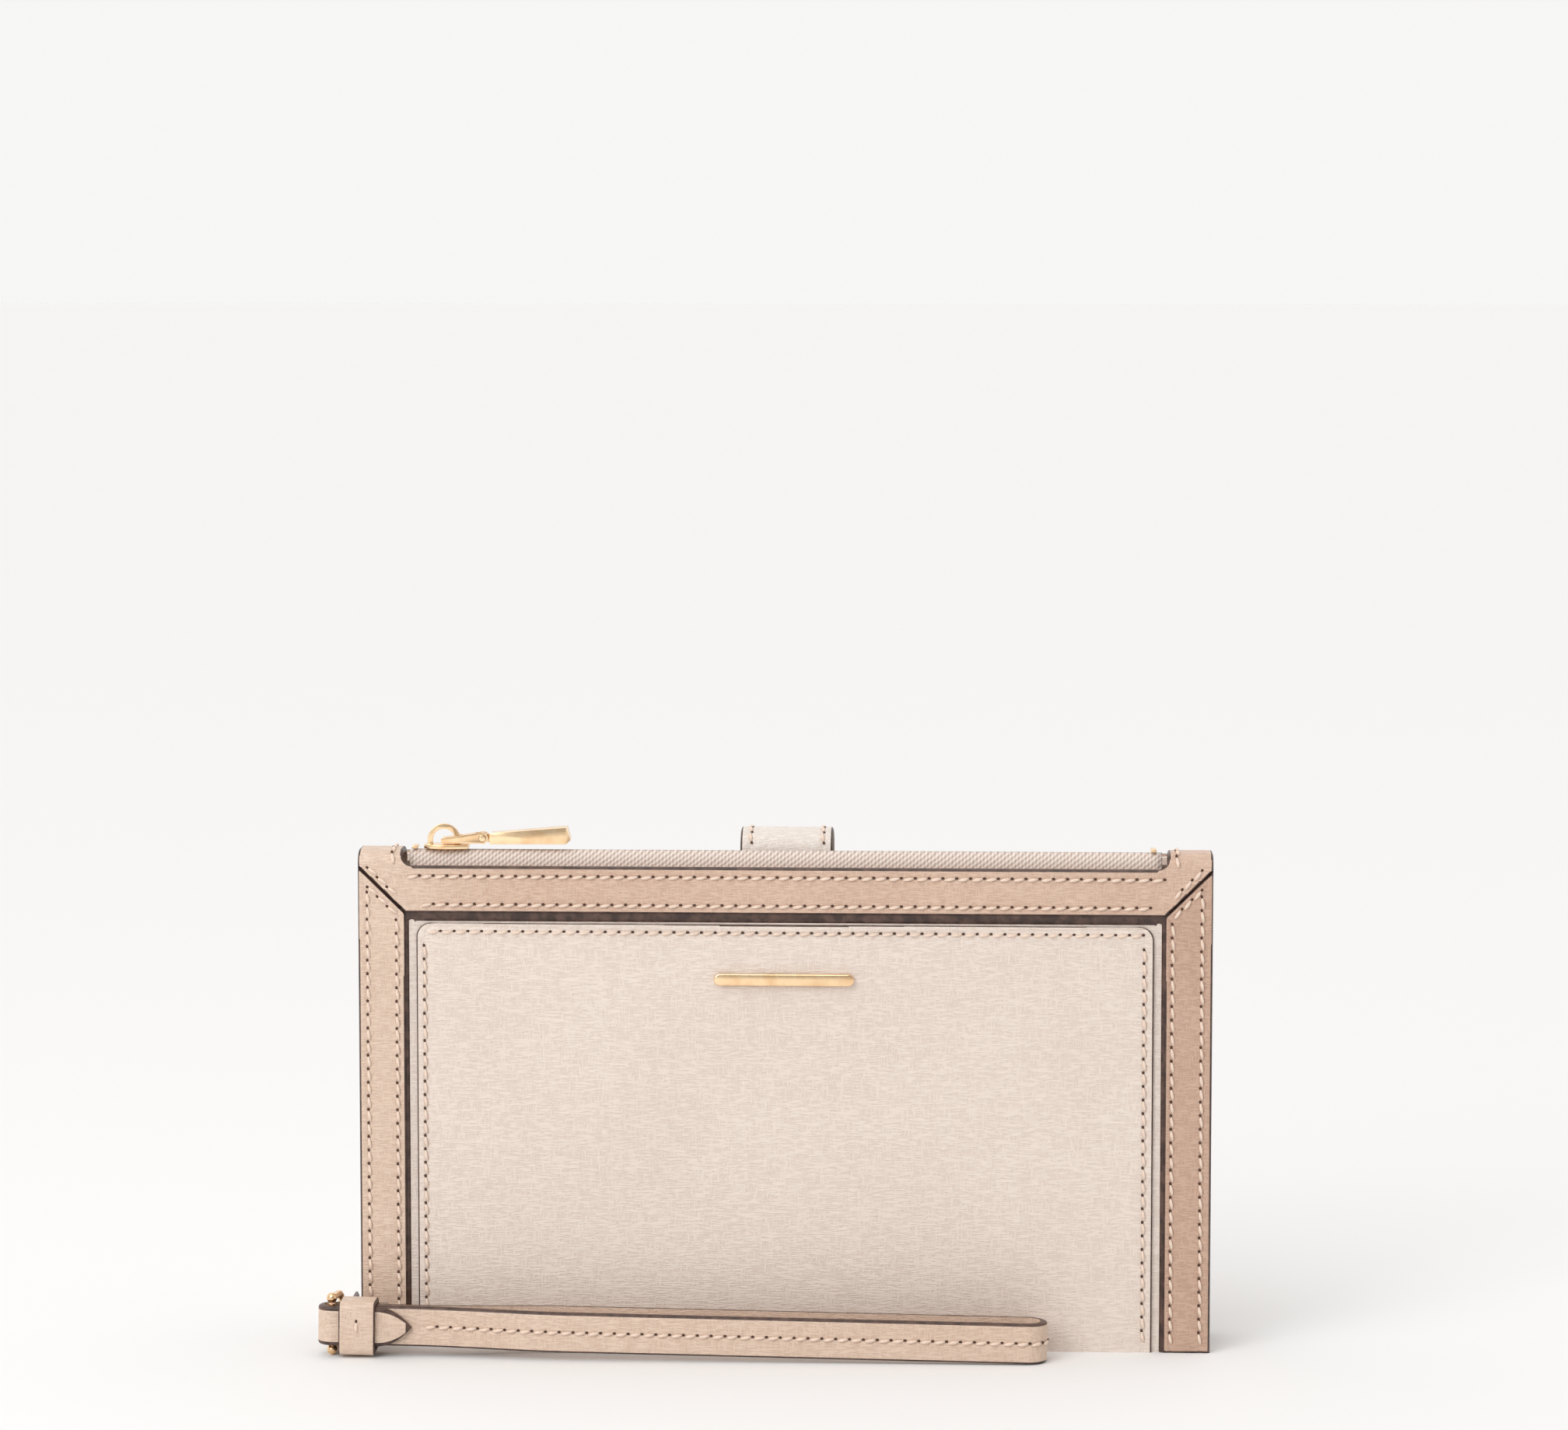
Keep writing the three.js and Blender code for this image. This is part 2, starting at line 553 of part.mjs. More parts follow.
// ---- wrist strap: a group at the pin, sloping down to its far end ----
const strapGroup = new THREE.Group();
const strapLow = ballLow + ballRadius + 0.15;
strapGroup.position.set(pinX, pinY, strapLow);
strapGroup.rotation.y = Math.asin((strapLow - 0.05) / strapLength);
wallet.add(strapGroup);
{
  const runY = (strapThick + gap) / 2; // middle of a run where the two lie together
  const spreadY = (strapSpread + strapThick) / 2; // middle of a run in the open loop
  const first = 1.5;
  const bendX = strapLength - spreadY - strapThick / 2;
  const ease = (t) => t * t * (3 - 2 * t);
  const run = (side) =>
    Array.from({ length: 12 }, (_, i) => {
      const x = first + (i / 11) * (openingLength + tipReach - first);
      const t = ease(Math.min(Math.max((x - tipReach) / openingLength, 0), 1));
      return [x, side * (runY + (spreadY - runY) * t)];
    });
  const bend = arcPoints(bendX, 0, spreadY, -Math.PI / 2, Math.PI / 2, 12);
  const line = [...run(-1), ...bend, ...run(1).reverse()];
  add('strap_band', planCut(bandShape(line, strapThick), 0, strapWidth), tanLeather, [0, 0, 0], strapGroup);

  const backEnd = keeperWidth + 4;
  const fold = arcPoints(0, 0, layerY, -Math.PI / 2, -1.5 * Math.PI, 12);
  const folded = [[tipReach, -layerY], ...fold, [backEnd, layerY]];
  const endTab = planCut(bandShape(folded, endTabThick), 0.05, strapWidth - 0.05);
  const beside = (z0, z1) => [
    [tipReach - pointLength, z0],
    [tipReach - pointLength * 0.35, z0 + (z1 - z0) * 0.52],
    [tipReach + 0.1, z1],
    [tipReach + 3, z1],
    [tipReach + 3, z0 - (z1 - z0)],
    [tipReach - pointLength, z0 - (z1 - z0)],
  ];
  const trims = [beside(0, strapWidth / 2), beside(strapWidth, strapWidth / 2)].map((points, i) =>
    frontCut(outline(i ? [...points].reverse() : points), -layerY - 2, -layerY + 2),
  );
  add('strap_end_tab', cut(endTab, ...trims), tanLeather, [0, 0, 0], strapGroup);

  const keeperLow = -0.9;
  const keeperHigh = strapWidth + 0.2;
  const outer = roundedRect(
    -keeperY - keeperThick,
    keeperY + keeperThick,
    keeperLow - keeperThick,
    keeperHigh + keeperThick,
    [1.2, 1.2, 1.6, 1.6],
  );
  outer.holes.push(roundedRect(-keeperY, keeperY, keeperLow, keeperHigh, [0.3, 0.3, 0.3, 0.3]));
  const keeperX = ballRadius + 2 * clearance;
  add('strap_keeper', sideCut(outer, keeperX, keeperX + keeperWidth), tanLeather, [0, 0, 0], strapGroup);
}

export default wallet;
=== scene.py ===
import math

import bmesh
import bpy
import numpy as np
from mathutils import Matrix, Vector


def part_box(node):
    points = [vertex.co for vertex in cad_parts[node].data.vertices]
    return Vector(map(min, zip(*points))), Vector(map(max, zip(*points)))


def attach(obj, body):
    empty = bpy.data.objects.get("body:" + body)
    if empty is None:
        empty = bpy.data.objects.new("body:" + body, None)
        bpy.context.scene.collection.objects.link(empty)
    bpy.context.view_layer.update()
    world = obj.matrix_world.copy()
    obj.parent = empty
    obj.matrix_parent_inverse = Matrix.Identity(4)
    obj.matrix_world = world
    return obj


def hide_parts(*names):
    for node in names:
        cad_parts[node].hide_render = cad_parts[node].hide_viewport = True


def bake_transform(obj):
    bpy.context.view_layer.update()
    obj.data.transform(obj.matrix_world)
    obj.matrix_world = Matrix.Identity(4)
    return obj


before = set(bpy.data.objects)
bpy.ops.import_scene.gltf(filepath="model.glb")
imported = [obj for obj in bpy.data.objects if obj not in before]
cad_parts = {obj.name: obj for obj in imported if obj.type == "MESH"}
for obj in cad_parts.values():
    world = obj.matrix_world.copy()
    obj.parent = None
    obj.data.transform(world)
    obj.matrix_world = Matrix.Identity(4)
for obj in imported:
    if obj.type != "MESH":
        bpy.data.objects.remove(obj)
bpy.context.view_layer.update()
MM = 0.001


# ---- studio: a pale floor in a bright room, with one high window behind the camera and a white card ----
# The camera stands a metre off and a little above, and looks at the wallet through a long lens.


class Wire:
    """A socket of a node tree. Sums and products on it, or with plain numbers, add Math nodes."""

    def __init__(self, tree, socket):
        self.tree, self.socket = tree, socket

    def maths(self, operation, *values):
        return add_node(self.tree, "ShaderNodeMath", {"operation": operation}, dict(enumerate(values)))

    def __add__(self, other):
        return self.maths("ADD", self, other)

    def __sub__(self, other):
        return self.maths("SUBTRACT", self, other)

    def __rsub__(self, other):
        return self.maths("SUBTRACT", other, self)

    def __mul__(self, other):
        return self.maths("MULTIPLY", self, other)

    __radd__, __rmul__ = __add__, __mul__

    def largest(self, other):
        return self.maths("MAXIMUM", self, other)


def add_node(tree, kind, settings, values, output=0):
    """A node with its settings made first, then the numbers, colours or wires of its sockets."""
    node = tree.nodes.new(kind)
    for name, setting in settings.items():
        setattr(node, name, setting)
    for name, value in values.items():
        if isinstance(value, Wire):
            tree.links.new(value.socket, node.inputs[name])
        else:
            node.inputs[name].default_value = value
    return Wire(tree, node.outputs[output])


def linear(red, green, blue):
    """A display colour of 0 to 255 as linear light, by the sRGB curve."""
    share = np.array([red, green, blue]) / 255
    bent = np.where(share <= 0.04045, share / 12.92, ((share + 0.055) / 1.055) ** 2.4)
    return (*bent.tolist(), 1.0)


def new_material(name):
    """An empty material with one Principled shader; returns the material, its tree and the shader."""
    material = bpy.data.materials.new(name)
    material.use_nodes = True
    tree = material.node_tree
    return material, tree, tree.nodes["Principled BSDF"]


def stretched_noise(tree, per_mm, detail=2.0, roughness=0.55, distortion=0.0):
    """Noise whose blobs are 1 / per_mm long along X, Y and Z, read from Object coordinates."""
    place = add_node(tree, "ShaderNodeTexCoord", {}, {}, output=3)
    scaled = add_node(tree, "ShaderNodeMapping", {}, {"Vector": place, "Scale": [1000 * s for s in per_mm]})
    values = {"Vector": scaled, "Scale": 1.0, "Detail": detail}
    values |= {"Roughness": roughness, "Distortion": distortion}
    return add_node(tree, "ShaderNodeTexNoise", {}, values)


def remap(tree, value, low, high, to_low=0.0, to_high=1.0):
    """Smooth step from low..high to to_low..to_high, held at its ends."""
    limits = {"Value": value, 1: low, 2: high, 3: to_low, 4: to_high}
    return add_node(tree, "ShaderNodeMapRange", {"interpolation_type": "SMOOTHSTEP"}, limits)


def mixed(tree, share, one, other):
    """Colour that goes from one to other as share goes from 0 to 1."""
    values = {0: share, 6: one, 7: other}
    return add_node(tree, "ShaderNodeMix", {"data_type": "RGBA"}, values, output=2)


def shine(tree, shader, colour, roughness, bump=None, strength=0.3, distance=0.0001):
    """Joins colour, roughness and a bump height to a shader."""
    for name, value in (("Base Color", colour), ("Roughness", roughness)):
        if isinstance(value, Wire):
            tree.links.new(value.socket, shader.inputs[name])
        else:
            shader.inputs[name].default_value = value
    if bump is not None:
        values = {"Strength": strength, "Distance": distance, "Height": bump}
        normal = add_node(tree, "ShaderNodeBump", {}, values)
        tree.links.new(normal.socket, shader.inputs["Normal"])


def lit_area(name, place, target, width, height, watts):
    """A rectangular light at a place, turned to look at a target."""
    light = bpy.data.lights.new(name, "AREA")
    light.shape, light.size, light.size_y, light.energy = "RECTANGLE", width, height, watts
    lamp = bpy.data.objects.new(name, light)
    lamp.location = place
    lamp.rotation_euler = (Vector(target) - Vector(place)).to_track_quat("-Z", "Y").to_euler()
    bpy.context.scene.collection.objects.link(lamp)


camera = bpy.data.objects.new("camera", bpy.data.cameras.new("camera"))
camera.data.sensor_width, camera.data.lens = 36.0, 117.5
camera.location = (0.0473, -1.0947, 0.245)
camera.rotation_euler = (math.radians(90 - 5.665), 0, math.radians(2.5))
bpy.context.scene.collection.objects.link(camera)
bpy.context.scene.camera = camera

FLOOR = 12.0
floor_mesh = bpy.data.meshes.new("floor")
corners = [(-FLOOR, -FLOOR, 0), (FLOOR, -FLOOR, 0), (FLOOR, FLOOR, 0), (-FLOOR, FLOOR, 0)]
floor_mesh.from_pydata(corners, [], [(0, 1, 2, 3)])
floor = bpy.data.objects.new("floor", floor_mesh)
bpy.context.scene.collection.objects.link(floor)
floor_look, tree, shader = new_material("pale_floor")
shine(tree, shader, linear(238, 237, 236), 0.9)
floor.data.materials.append(floor_look)

world = bpy.data.worlds.new("studio")
world.use_nodes = True
tree = world.node_tree
direction = add_node(tree, "ShaderNodeTexCoord", {}, {})
toward_back = add_node(tree, "ShaderNodeSeparateXYZ", {}, {0: direction}, output=1)
glow = remap(tree, toward_back, -0.7, 0.3, 0.42, 1.0)
seen = add_node(tree, "ShaderNodeLightPath", {}, {})
strength = seen * 0.93 + (1 - seen) * glow
tree.nodes["Background"].inputs["Color"].default_value = (1.0, 0.995, 0.99, 1)
tree.links.new(strength.socket, tree.nodes["Background"].inputs["Strength"])
bpy.context.scene.world = world
bpy.context.scene.view_settings.view_transform = "Standard"
sun = bpy.data.lights.new("high_window", "SUN")
sun.energy, sun.angle = 1.15, math.radians(50)
window = bpy.data.objects.new("high_window", sun)
window.rotation_euler = (math.radians(38), 0, math.radians(-28))
bpy.context.scene.collection.objects.link(window)
lit_area("front_left_card", (-0.6, -0.9, 0.5), (0, 0, 0.05), 0.5, 0.5, 3.0)


# ---- leather: cow hide pressed with a fine cross-hatch and given a hard satin finish ----
# Each piece is cut from a sheet, its cut edge is rounded and painted dark brown, and its seams pull it in.


def hatched_leather(name, colour, groove_shade, roughness, lit_left_end=None):
    """Short ridges along X and along Z or Y, the larger of the two, with soft clouds of tone; the grooves
    between the ridges are darker, a painted shade. Where a left end is given, its two colours fade into the
    others along X between the two places of the fade: a painted light, the left end lighter as if lit from
    the left."""
    material, tree, shader = new_material(name)
    if lit_left_end:
        place = add_node(tree, "ShaderNodeTexCoord", {}, {}, output=3)
        along = add_node(tree, "ShaderNodeSeparateXYZ", {}, {0: place})
        share = remap(tree, along, *LIT_FADE)
        colour, groove_shade = mixed(tree, share, lit_left_end[0], colour), mixed(tree, share, lit_left_end[1], groove_shade)
    across = stretched_noise(tree, (0.45, 3.9, 3.9), 1.0, 0.5, 0.2)
    upward = stretched_noise(tree, (3.9, 3.9, 0.45), 1.0, 0.5, 0.2)
    ridge = remap(tree, across, 0.38, 0.6).largest(remap(tree, upward, 0.42, 0.64) * 0.85)
    fine = stretched_noise(tree, (5.0, 5.0, 5.0), 2.0)
    cloud = stretched_noise(tree, (0.03, 0.03, 0.03), 2.0)
    height = ridge + fine * 0.25
    # Tone: soft random clouds, plus painted shade that darkens the grooves between the ridges.
    tone = remap(tree, cloud, 0.35, 0.65, 0.0, 0.12) + (1 - ridge) * 0.45
    shine(tree, shader, mixed(tree, tone, colour, groove_shade), roughness - ridge * 0.1, height, 0.6, 0.00014)
    return material


def painted_edge():
    """Dark brown edge paint, glossy, with thin places where the brown is lighter."""
    material, tree, shader = new_material("edge_paint")
    patch = remap(tree, stretched_noise(tree, (0.5, 0.5, 0.5)), 0.3, 0.75)
    shine(tree, shader, mixed(tree, patch, linear(58, 40, 34), linear(96, 72, 62)), 0.38, patch, 0.2)
    return material


# Where the top strip and its ears turn lighter towards the left end: a painted light.
LIT_FADE = (-0.09, -0.055)
TAN = linear(218, 189, 168), linear(188, 149, 126)
# The lighter tan below is partly painted light: on the left side strip it is a lit copy of the tan, as that
# strip faces the light from the left. It is also the tan of the strap, its keeper, its end leaf and the
# shackle's tab.
PALE_AND_LIT = linear(226, 202, 182), linear(198, 165, 142)
tan_leather = hatched_leather("tan_leather", *TAN, 0.5)
pale_and_lit_tan = hatched_leather("pale_and_lit_tan_leather", *PALE_AND_LIT, 0.5)
# Tan of the top strip and its ears, painted lighter towards the left end as if lit from the left.
tan_lit_at_left = hatched_leather("tan_lit_at_left_leather", *TAN, 0.5, PALE_AND_LIT)
# The darker tan below is painted shade: a shaded copy of the tan for the right side strip, which faces away
# from the light.
shaded_tan = hatched_leather("shaded_tan_leather", linear(204, 172, 151), linear(172, 132, 109), 0.5)
pale_leather = hatched_leather("pale_leather", linear(234, 220, 209), linear(214, 194, 180), 0.52)
snap_leather = hatched_leather("snap_leather", linear(238, 229, 220), linear(219, 203, 190), 0.52)
edge_paint = painted_edge()


def stops(length, seams=(), coarse=4.0, edges=(True, True)):
    """Places along a length in millimetres: an even step, and close ones at rounded edges and at seams."""
    places = [*np.linspace(0, length, max(int(length / coarse), 1) + 1)]
    edge = [0.06, 0.16, 0.3, 0.46, 0.64, 0.9]
    places += edge if edges[0] else []
    places += [length - e for e in edge] if edges[1] else []
    places += [s + e for s in seams for e in (-0.9, -0.5, -0.25, 0, 0.25, 0.5, 0.9)]
    places = sorted(p for p in places if 0 <= p <= length)
    kept = [places[0]]
    for place in places[1:]:
        if place - kept[-1] > 0.07:
            kept.append(place)
    kept[-1] = length
    return np.array(kept)


def grid(x, y, z):
    """A grid of points from coordinates that are each a number, a row, a column or a whole grid."""
    return np.stack(np.broadcast_arrays(x, y, z), -1)


def arc(middle, radius, start, end, count):
    """Points round a middle from one angle to another."""
    t = np.linspace(start, end, count)
    return np.stack([middle[0] + radius * np.cos(t), middle[1] + radius * np.sin(t)], -1)


def beside(path, distance):
    """A flat path moved to its right-hand side by a distance."""
    along = np.gradient(path, axis=0)
    along = along / np.linalg.norm(along, axis=1, keepdims=True)
    return path + np.stack([along[:, 1], -along[:, 0]], -1) * distance


SHARP = math.radians(50)


def make_object(name, points, faces, materials, slots=None):
    """A smooth-shaded mesh object from points, faces and the material number of each face."""
    mesh = bpy.data.meshes.new(name)
    mesh.from_pydata(np.asarray(points).tolist(), [], np.asarray(faces).tolist())
    for material in materials:
        mesh.materials.append(material)
    if slots is not None:
        mesh.polygons.foreach_set("material_index", np.asarray(slots, np.int32))
    mesh.polygons.foreach_set("use_smooth", np.ones(len(mesh.polygons), bool))
    mesh.set_sharp_from_angle(angle=SHARP)
    mesh.update()
    thing = bpy.data.objects.new(name, mesh)
    bpy.context.scene.collection.objects.link(thing)
    return thing


def grid_faces(rows, columns, closed=False):
    """Quads of a grid whose points run row by row; a closed grid joins its last row to its first."""
    r, c = np.meshgrid(np.arange(rows if closed else rows - 1), np.arange(columns - 1), indexing="ij")
    near, far = r * columns + c, (r + 1) % rows * columns + c
    return np.stack([near, near + 1, far + 1, far], -1).reshape(-1, 4)


def sheet_faces(rows, columns, closed=False):
    """Quads of a sheet whose face is one grid and whose back is a second: the face, the back turned
    round, and a rim along every open side."""
    count = rows * columns
    front = grid_faces(rows, columns, closed)
    places = np.arange(count).reshape(rows, columns)
    ring = np.concatenate([places, places[:1]]) if closed else places
    sides = [(ring[:-1, 0], ring[1:, 0]), (ring[1:, -1], ring[:-1, -1])]
    if not closed:
        sides += [(places[0, 1:], places[0, :-1]), (places[-1, :-1], places[-1, 1:])]
    rim = np.concatenate([np.stack([a, b, b + count, a + count], -1) for a, b in sides])
    return front, np.concatenate([front, front[:, ::-1] + count, rim]), len(rim)


def grid_normals(points, closed=False):
    """Unit normals of a grid, from its slopes along rows crossed with its slopes along columns."""
    if closed:
        along = (np.roll(points, -1, 0) - np.roll(points, 1, 0)) / 2
    else:
        along = np.gradient(points, axis=0)
    normal = np.cross(np.gradient(points, axis=1), along)
    return normal / np.maximum(np.linalg.norm(normal, axis=-1, keepdims=True), 1e-12)


def run_length(points, axis):
    """Distance walked along one axis of a grid, in millimetres."""
    step = np.linalg.norm(np.diff(points, axis=axis), axis=-1)
    start = np.zeros_like(np.take(step, [0], axis))
    return np.concatenate([start, np.cumsum(step, axis)], axis)


ROUND, PAINTED = 0.62, 0.8
DIP, DIP_WIDTH = 0.15, 0.45


def leather(name, points, thick, face, cut=(True,) * 4, closed=False, seams=(), edge=None, paint=None):
    """A cut sheet of leather from a grid of its face in millimetres.

    The face turns down by a quarter round of ROUND, or of half the thickness where that is less, at each
    cut side, or where the given edge distances run out. It dips at the seams, each a side (0 first row,
    1 last row, 2 first column, 3 last column) and a distance from it. Its back is the grid moved in by the
    thickness, square at its edges. Paint covers the rim and the face to a distance from the cut.
    """
    normal = grid_normals(points, closed)
    rows, columns = run_length(points, 0), run_length(points, 1)
    sides = [rows, rows[-1:] - rows, columns, columns[:, -1:] - columns]
    flags = (cut[0] and not closed, cut[1] and not closed, cut[2], cut[3])
    if edge is None:
        edge = np.full(points.shape[:2], 99.0)
        for side, flag in zip(sides, flags):
            edge = np.minimum(edge, side) if flag else edge
    radius = min(ROUND, thick * 0.5)
    drop = radius * (1 - np.sqrt(np.maximum(1 - (1 - np.minimum(edge / radius, 1)) ** 2, 0)))
    for side, distance in seams:
        drop = drop + DIP * np.exp(-(((sides[side] - distance) / DIP_WIDTH) ** 2))
    shaped = points - normal * drop[..., None]
    both = np.concatenate([shaped.reshape(-1, 3), (points - normal * thick).reshape(-1, 3)])
    front, faces, rim = sheet_faces(*points.shape[:2], closed)
    painted = (edge.reshape(-1)[front].mean(1) < (paint or radius * PAINTED)).astype(int)
    slots = np.concatenate([painted, np.zeros(len(front), int), np.ones(rim, int)])
    return make_object(name, both * MM, faces, [face, edge_paint], slots), shaped, normal


def apply_modifiers(thing):
    """Writes what a piece's modifiers make into its mesh."""
    graph = bpy.context.evaluated_depsgraph_get()
    mesh = bpy.data.meshes.new_from_object(thing.evaluated_get(graph))
    thing.modifiers.clear()
    thing.data = mesh


def fit_piece(thing, body, slot, *nodes):
    """Says which body a piece rides and which CAD nodes it stands for, and hides those; the slot, what it is
    made of, is not used.
    """
    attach(thing, body)
    if nodes:
        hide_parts(*nodes)


def across(node):
    """A node's lowest and highest corners in millimetres."""
    low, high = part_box(node)
    return np.array(low) / MM, np.array(high) / MM


# ---- thread: waxed thread, one stitch of a lockstitch seam in each hole, each lying a little askew ----
# A stitch is a short bead that is pulled into the leather at both ends, between two needle holes, each a dark
# patch that is painted shade of the hole.

thread_look, tree, shader = new_material("thread")
ply = stretched_noise(tree, (3.0, 3.0, 3.0), 2.0)
shine(tree, shader, mixed(tree, ply, linear(248, 231, 216), linear(222, 192, 170)), 0.55, ply, 0.4)
# Needle holes: dark browns that paint the shade inside each hole.
hole_shade_look, tree, shader = new_material("needle_hole_shade")
shade = stretched_noise(tree, (2.0, 2.0, 2.0))
shine(tree, shader, mixed(tree, shade, linear(60, 38, 26), linear(98, 66, 48)), 0.8)

PITCH, STITCH, THREAD = 2.95, 2.35, 0.4
RINGS, CORNERS = 6, 5
HOLE_LONG, HOLE_WIDE, HOLE_TOP, HOLE_DEEP = 0.42, 0.32, 0.14, 0.12


def one_stitch():
    """A bead along X: rings of five points whose radius swells as the root of a half sine, and whose
    height arcs, plus a flat five-sided dark patch at its far end, the painted shade of the needle hole."""
    t = np.linspace(0, 1, RINGS)[:, None]
    turn = np.linspace(0, 2 * math.pi, CORNERS, endpoint=False)
    radius = THREAD * np.sin(math.pi * np.clip(t, 0.04, 0.96)) ** 0.5
    height = radius * 0.85 * np.sin(turn) + 0.08 + 0.2 * np.sin(math.pi * t)
    bead = grid((t - 0.5) * STITCH, radius * np.cos(turn), height).reshape(-1, 3)
    ring = grid(PITCH / 2 + HOLE_LONG * np.cos(turn), HOLE_WIDE * np.sin(turn), HOLE_TOP)
    under = ring - np.array([0, 0, HOLE_DEEP])
    first = np.arange(CORNERS)
    after = (first + 1) % CORNERS
    steps = [r * CORNERS for r in range(RINGS)]
    quads = [[n + a, n + b, n + CORNERS + b, n + CORNERS + a]
             for n in steps[:-1] for a, b in zip(first.tolist(), after.tolist())]
    top, low = len(bead), len(bead) + CORNERS
    rims = [[top + a, low + a, low + b, top + b] for a, b in zip(first.tolist(), after.tolist())]
    ends = [first[::-1], first + steps[-1], first + top, first[::-1] + low]
    faces = [*quads, *(end.tolist() for end in ends), *rims]
    slots = [0] * (len(quads) + 2) + [1] * (2 + len(rims))
    return np.concatenate([bead, ring, under]), faces, slots


def seam_places(line, normals, slant):
    """Frames at every pitch along a line: middle, direction turned by the slant, side, and outward."""
    step = np.linalg.norm(np.diff(line, axis=0), axis=1)
    walked = np.concatenate([[0], np.cumsum(step)])
    count = max(int((walked[-1] - 0.6) / PITCH), 1)
    at = walked[-1] / 2 + (np.arange(count) - (count - 1) / 2) * PITCH
    middle = np.stack([np.interp(at, walked, line[:, k]) for k in range(3)], -1)
    ahead = np.stack([np.interp(at + 0.4, walked, line[:, k]) for k in range(3)], -1)
    behind = np.stack([np.interp(at - 0.4, walked, line[:, k]) for k in range(3)], -1)
    out = np.stack([np.interp(at, walked, normals[:, k]) for k in range(3)], -1)
    along = ahead - behind
    along = along / np.linalg.norm(along, axis=1, keepdims=True)
    side = np.cross(out, along)
    tilt = math.radians(slant)
    turned = along * math.cos(tilt) + side * math.sin(tilt)
    return middle, turned, np.cross(out, turned), out


def stitches(name, body, seams, slant=10.0):
    """Copies of the one stitch at every place of each seam; a seam is a line and its outward normals."""
    bead, faces, slots = one_stitch()
    places = [seam_places(line, normals, slant) for line, normals in seams]
    middle, along, side, out = (np.concatenate([p[k] for p in places])[:, None] for k in range(4))
    points = middle + bead[None, :, :1] * along + bead[None, :, 1:2] * side + bead[None, :, 2:] * out
    all_faces = [[i * len(bead) + v for v in face] for i in range(len(middle)) for face in faces]
    mesh = bpy.data.meshes.new(name)
    mesh.from_pydata((points.reshape(-1, 3) * MM).tolist(), [], all_faces)
    mesh.materials.append(thread_look)
    mesh.materials.append(hole_shade_look)
    mesh.polygons.foreach_set("material_index", np.tile(slots, len(middle)).astype(np.int32))
    mesh.polygons.foreach_set("use_smooth", np.ones(len(mesh.polygons), bool))
    thing = bpy.data.objects.new(name, mesh)
    bpy.context.scene.collection.objects.link(thing)
    fit_piece(thing, body, "zip_cloth")


def straight(start, end, outward):
    """A straight seam from start to end on a face that looks outward."""
    line = np.array([start, end], float)
    return line, np.tile(np.array(outward, float), (2, 1))


# ---- leather frame: a top strip with two ears that turn over the pouch, and a strip at each side ----
# Strips of tan leather with painted edges, sewn twice along their length and mitred at the top corners.

top_low, top_high = across("frame_top")
side_low, side_high = across("frame_right")
FRONT = top_low[1]
OUTER = side_high[0]
WINDOW = side_low[0]
BAND_LOW = top_low[2]
SLOT = side_high[2] + 0.3
SLOT_END = across("zip_tape_front")[1][0] + 1.2
CORNER = 2.4
OVER = 3.2
STRIP, EAR = 2.0, 1.1
EDGE_SEAM, WINDOW_SEAM, SIDE_SEAM, MITRE_SEAM = 2.2, 1.7, 1.75, 2.1
EAR_DROP = 9
SUNK = 0.1


def mitred_width(z):
    """Half the width of the top strip at a height: it follows the mitre up to the slot, then the pouch."""
    return WINDOW + (OUTER - WINDOW) * np.clip((z - BAND_LOW) / (SLOT - BAND_LOW), 0, 1)


def over_the_top(x, run, front, back):
    """Wraps a flat pattern over the pouch: up the front, a quarter turn, across, a quarter turn and down."""
    bend = top_high[2] - OVER
    quarter = OVER * math.pi / 2
    flat = (back - front) - 2 * OVER
    first = np.clip((run - bend) / OVER, 0, math.pi / 2)
    across_top = np.clip(run - bend - quarter, 0, flat)
    second = np.clip((run - bend - quarter - flat) / OVER, 0, math.pi / 2)
    down = np.maximum(run - bend - 2 * quarter - flat, 0)
    y = front + OVER * (1 - np.cos(first)) + across_top + OVER * np.sin(second)
    z = np.minimum(run, bend) + OVER * np.sin(first) - OVER * (1 - np.cos(second)) - down
    return np.stack([x, y, z], -1)


def side_strip(side, window, outer, foot, band_low, slot, y):
    """A side strip's grid, from its foot to a mitre that rises from band_low to slot."""
    share = stops(outer - window, (SIDE_SEAM, outer - window - EDGE_SEAM))
    mitre = band_low + share * (slot - band_low) / (outer - window) - 0.15
    rise = stops(slot - foot, (), 3.0) / (slot - foot)
    return grid(side * (window + share), y, foot + (mitre - foot) * rise[:, None])


slot_seam = SLOT - BAND_LOW - EDGE_SEAM
band_run = stops(SLOT - BAND_LOW, (WINDOW_SEAM, slot_seam)) + BAND_LOW
band_cuts = (True, True, False, False)
band_seams = ((0, WINDOW_SEAM), (0, slot_seam))
half_band = SLOT_END - CORNER
points = grid(np.linspace(-half_band, half_band, 60), FRONT, band_run[:, None])
band, _, _ = leather("top_strip", points, STRIP, tan_lit_at_left, band_cuts, seams=band_seams)
fit_piece(band, "pouch", "tan_leather", "frame_top")

points = grid(stops(2 * SLOT_END - 0.2) - SLOT_END + 0.1, top_high[1], band_run[:, None])[:, ::-1]
back, _, _ = leather("back_strip", points, EAR, tan_leather, band_cuts, seams=band_seams)
fit_piece(back, "pouch", "tan_leather", "frame_top")

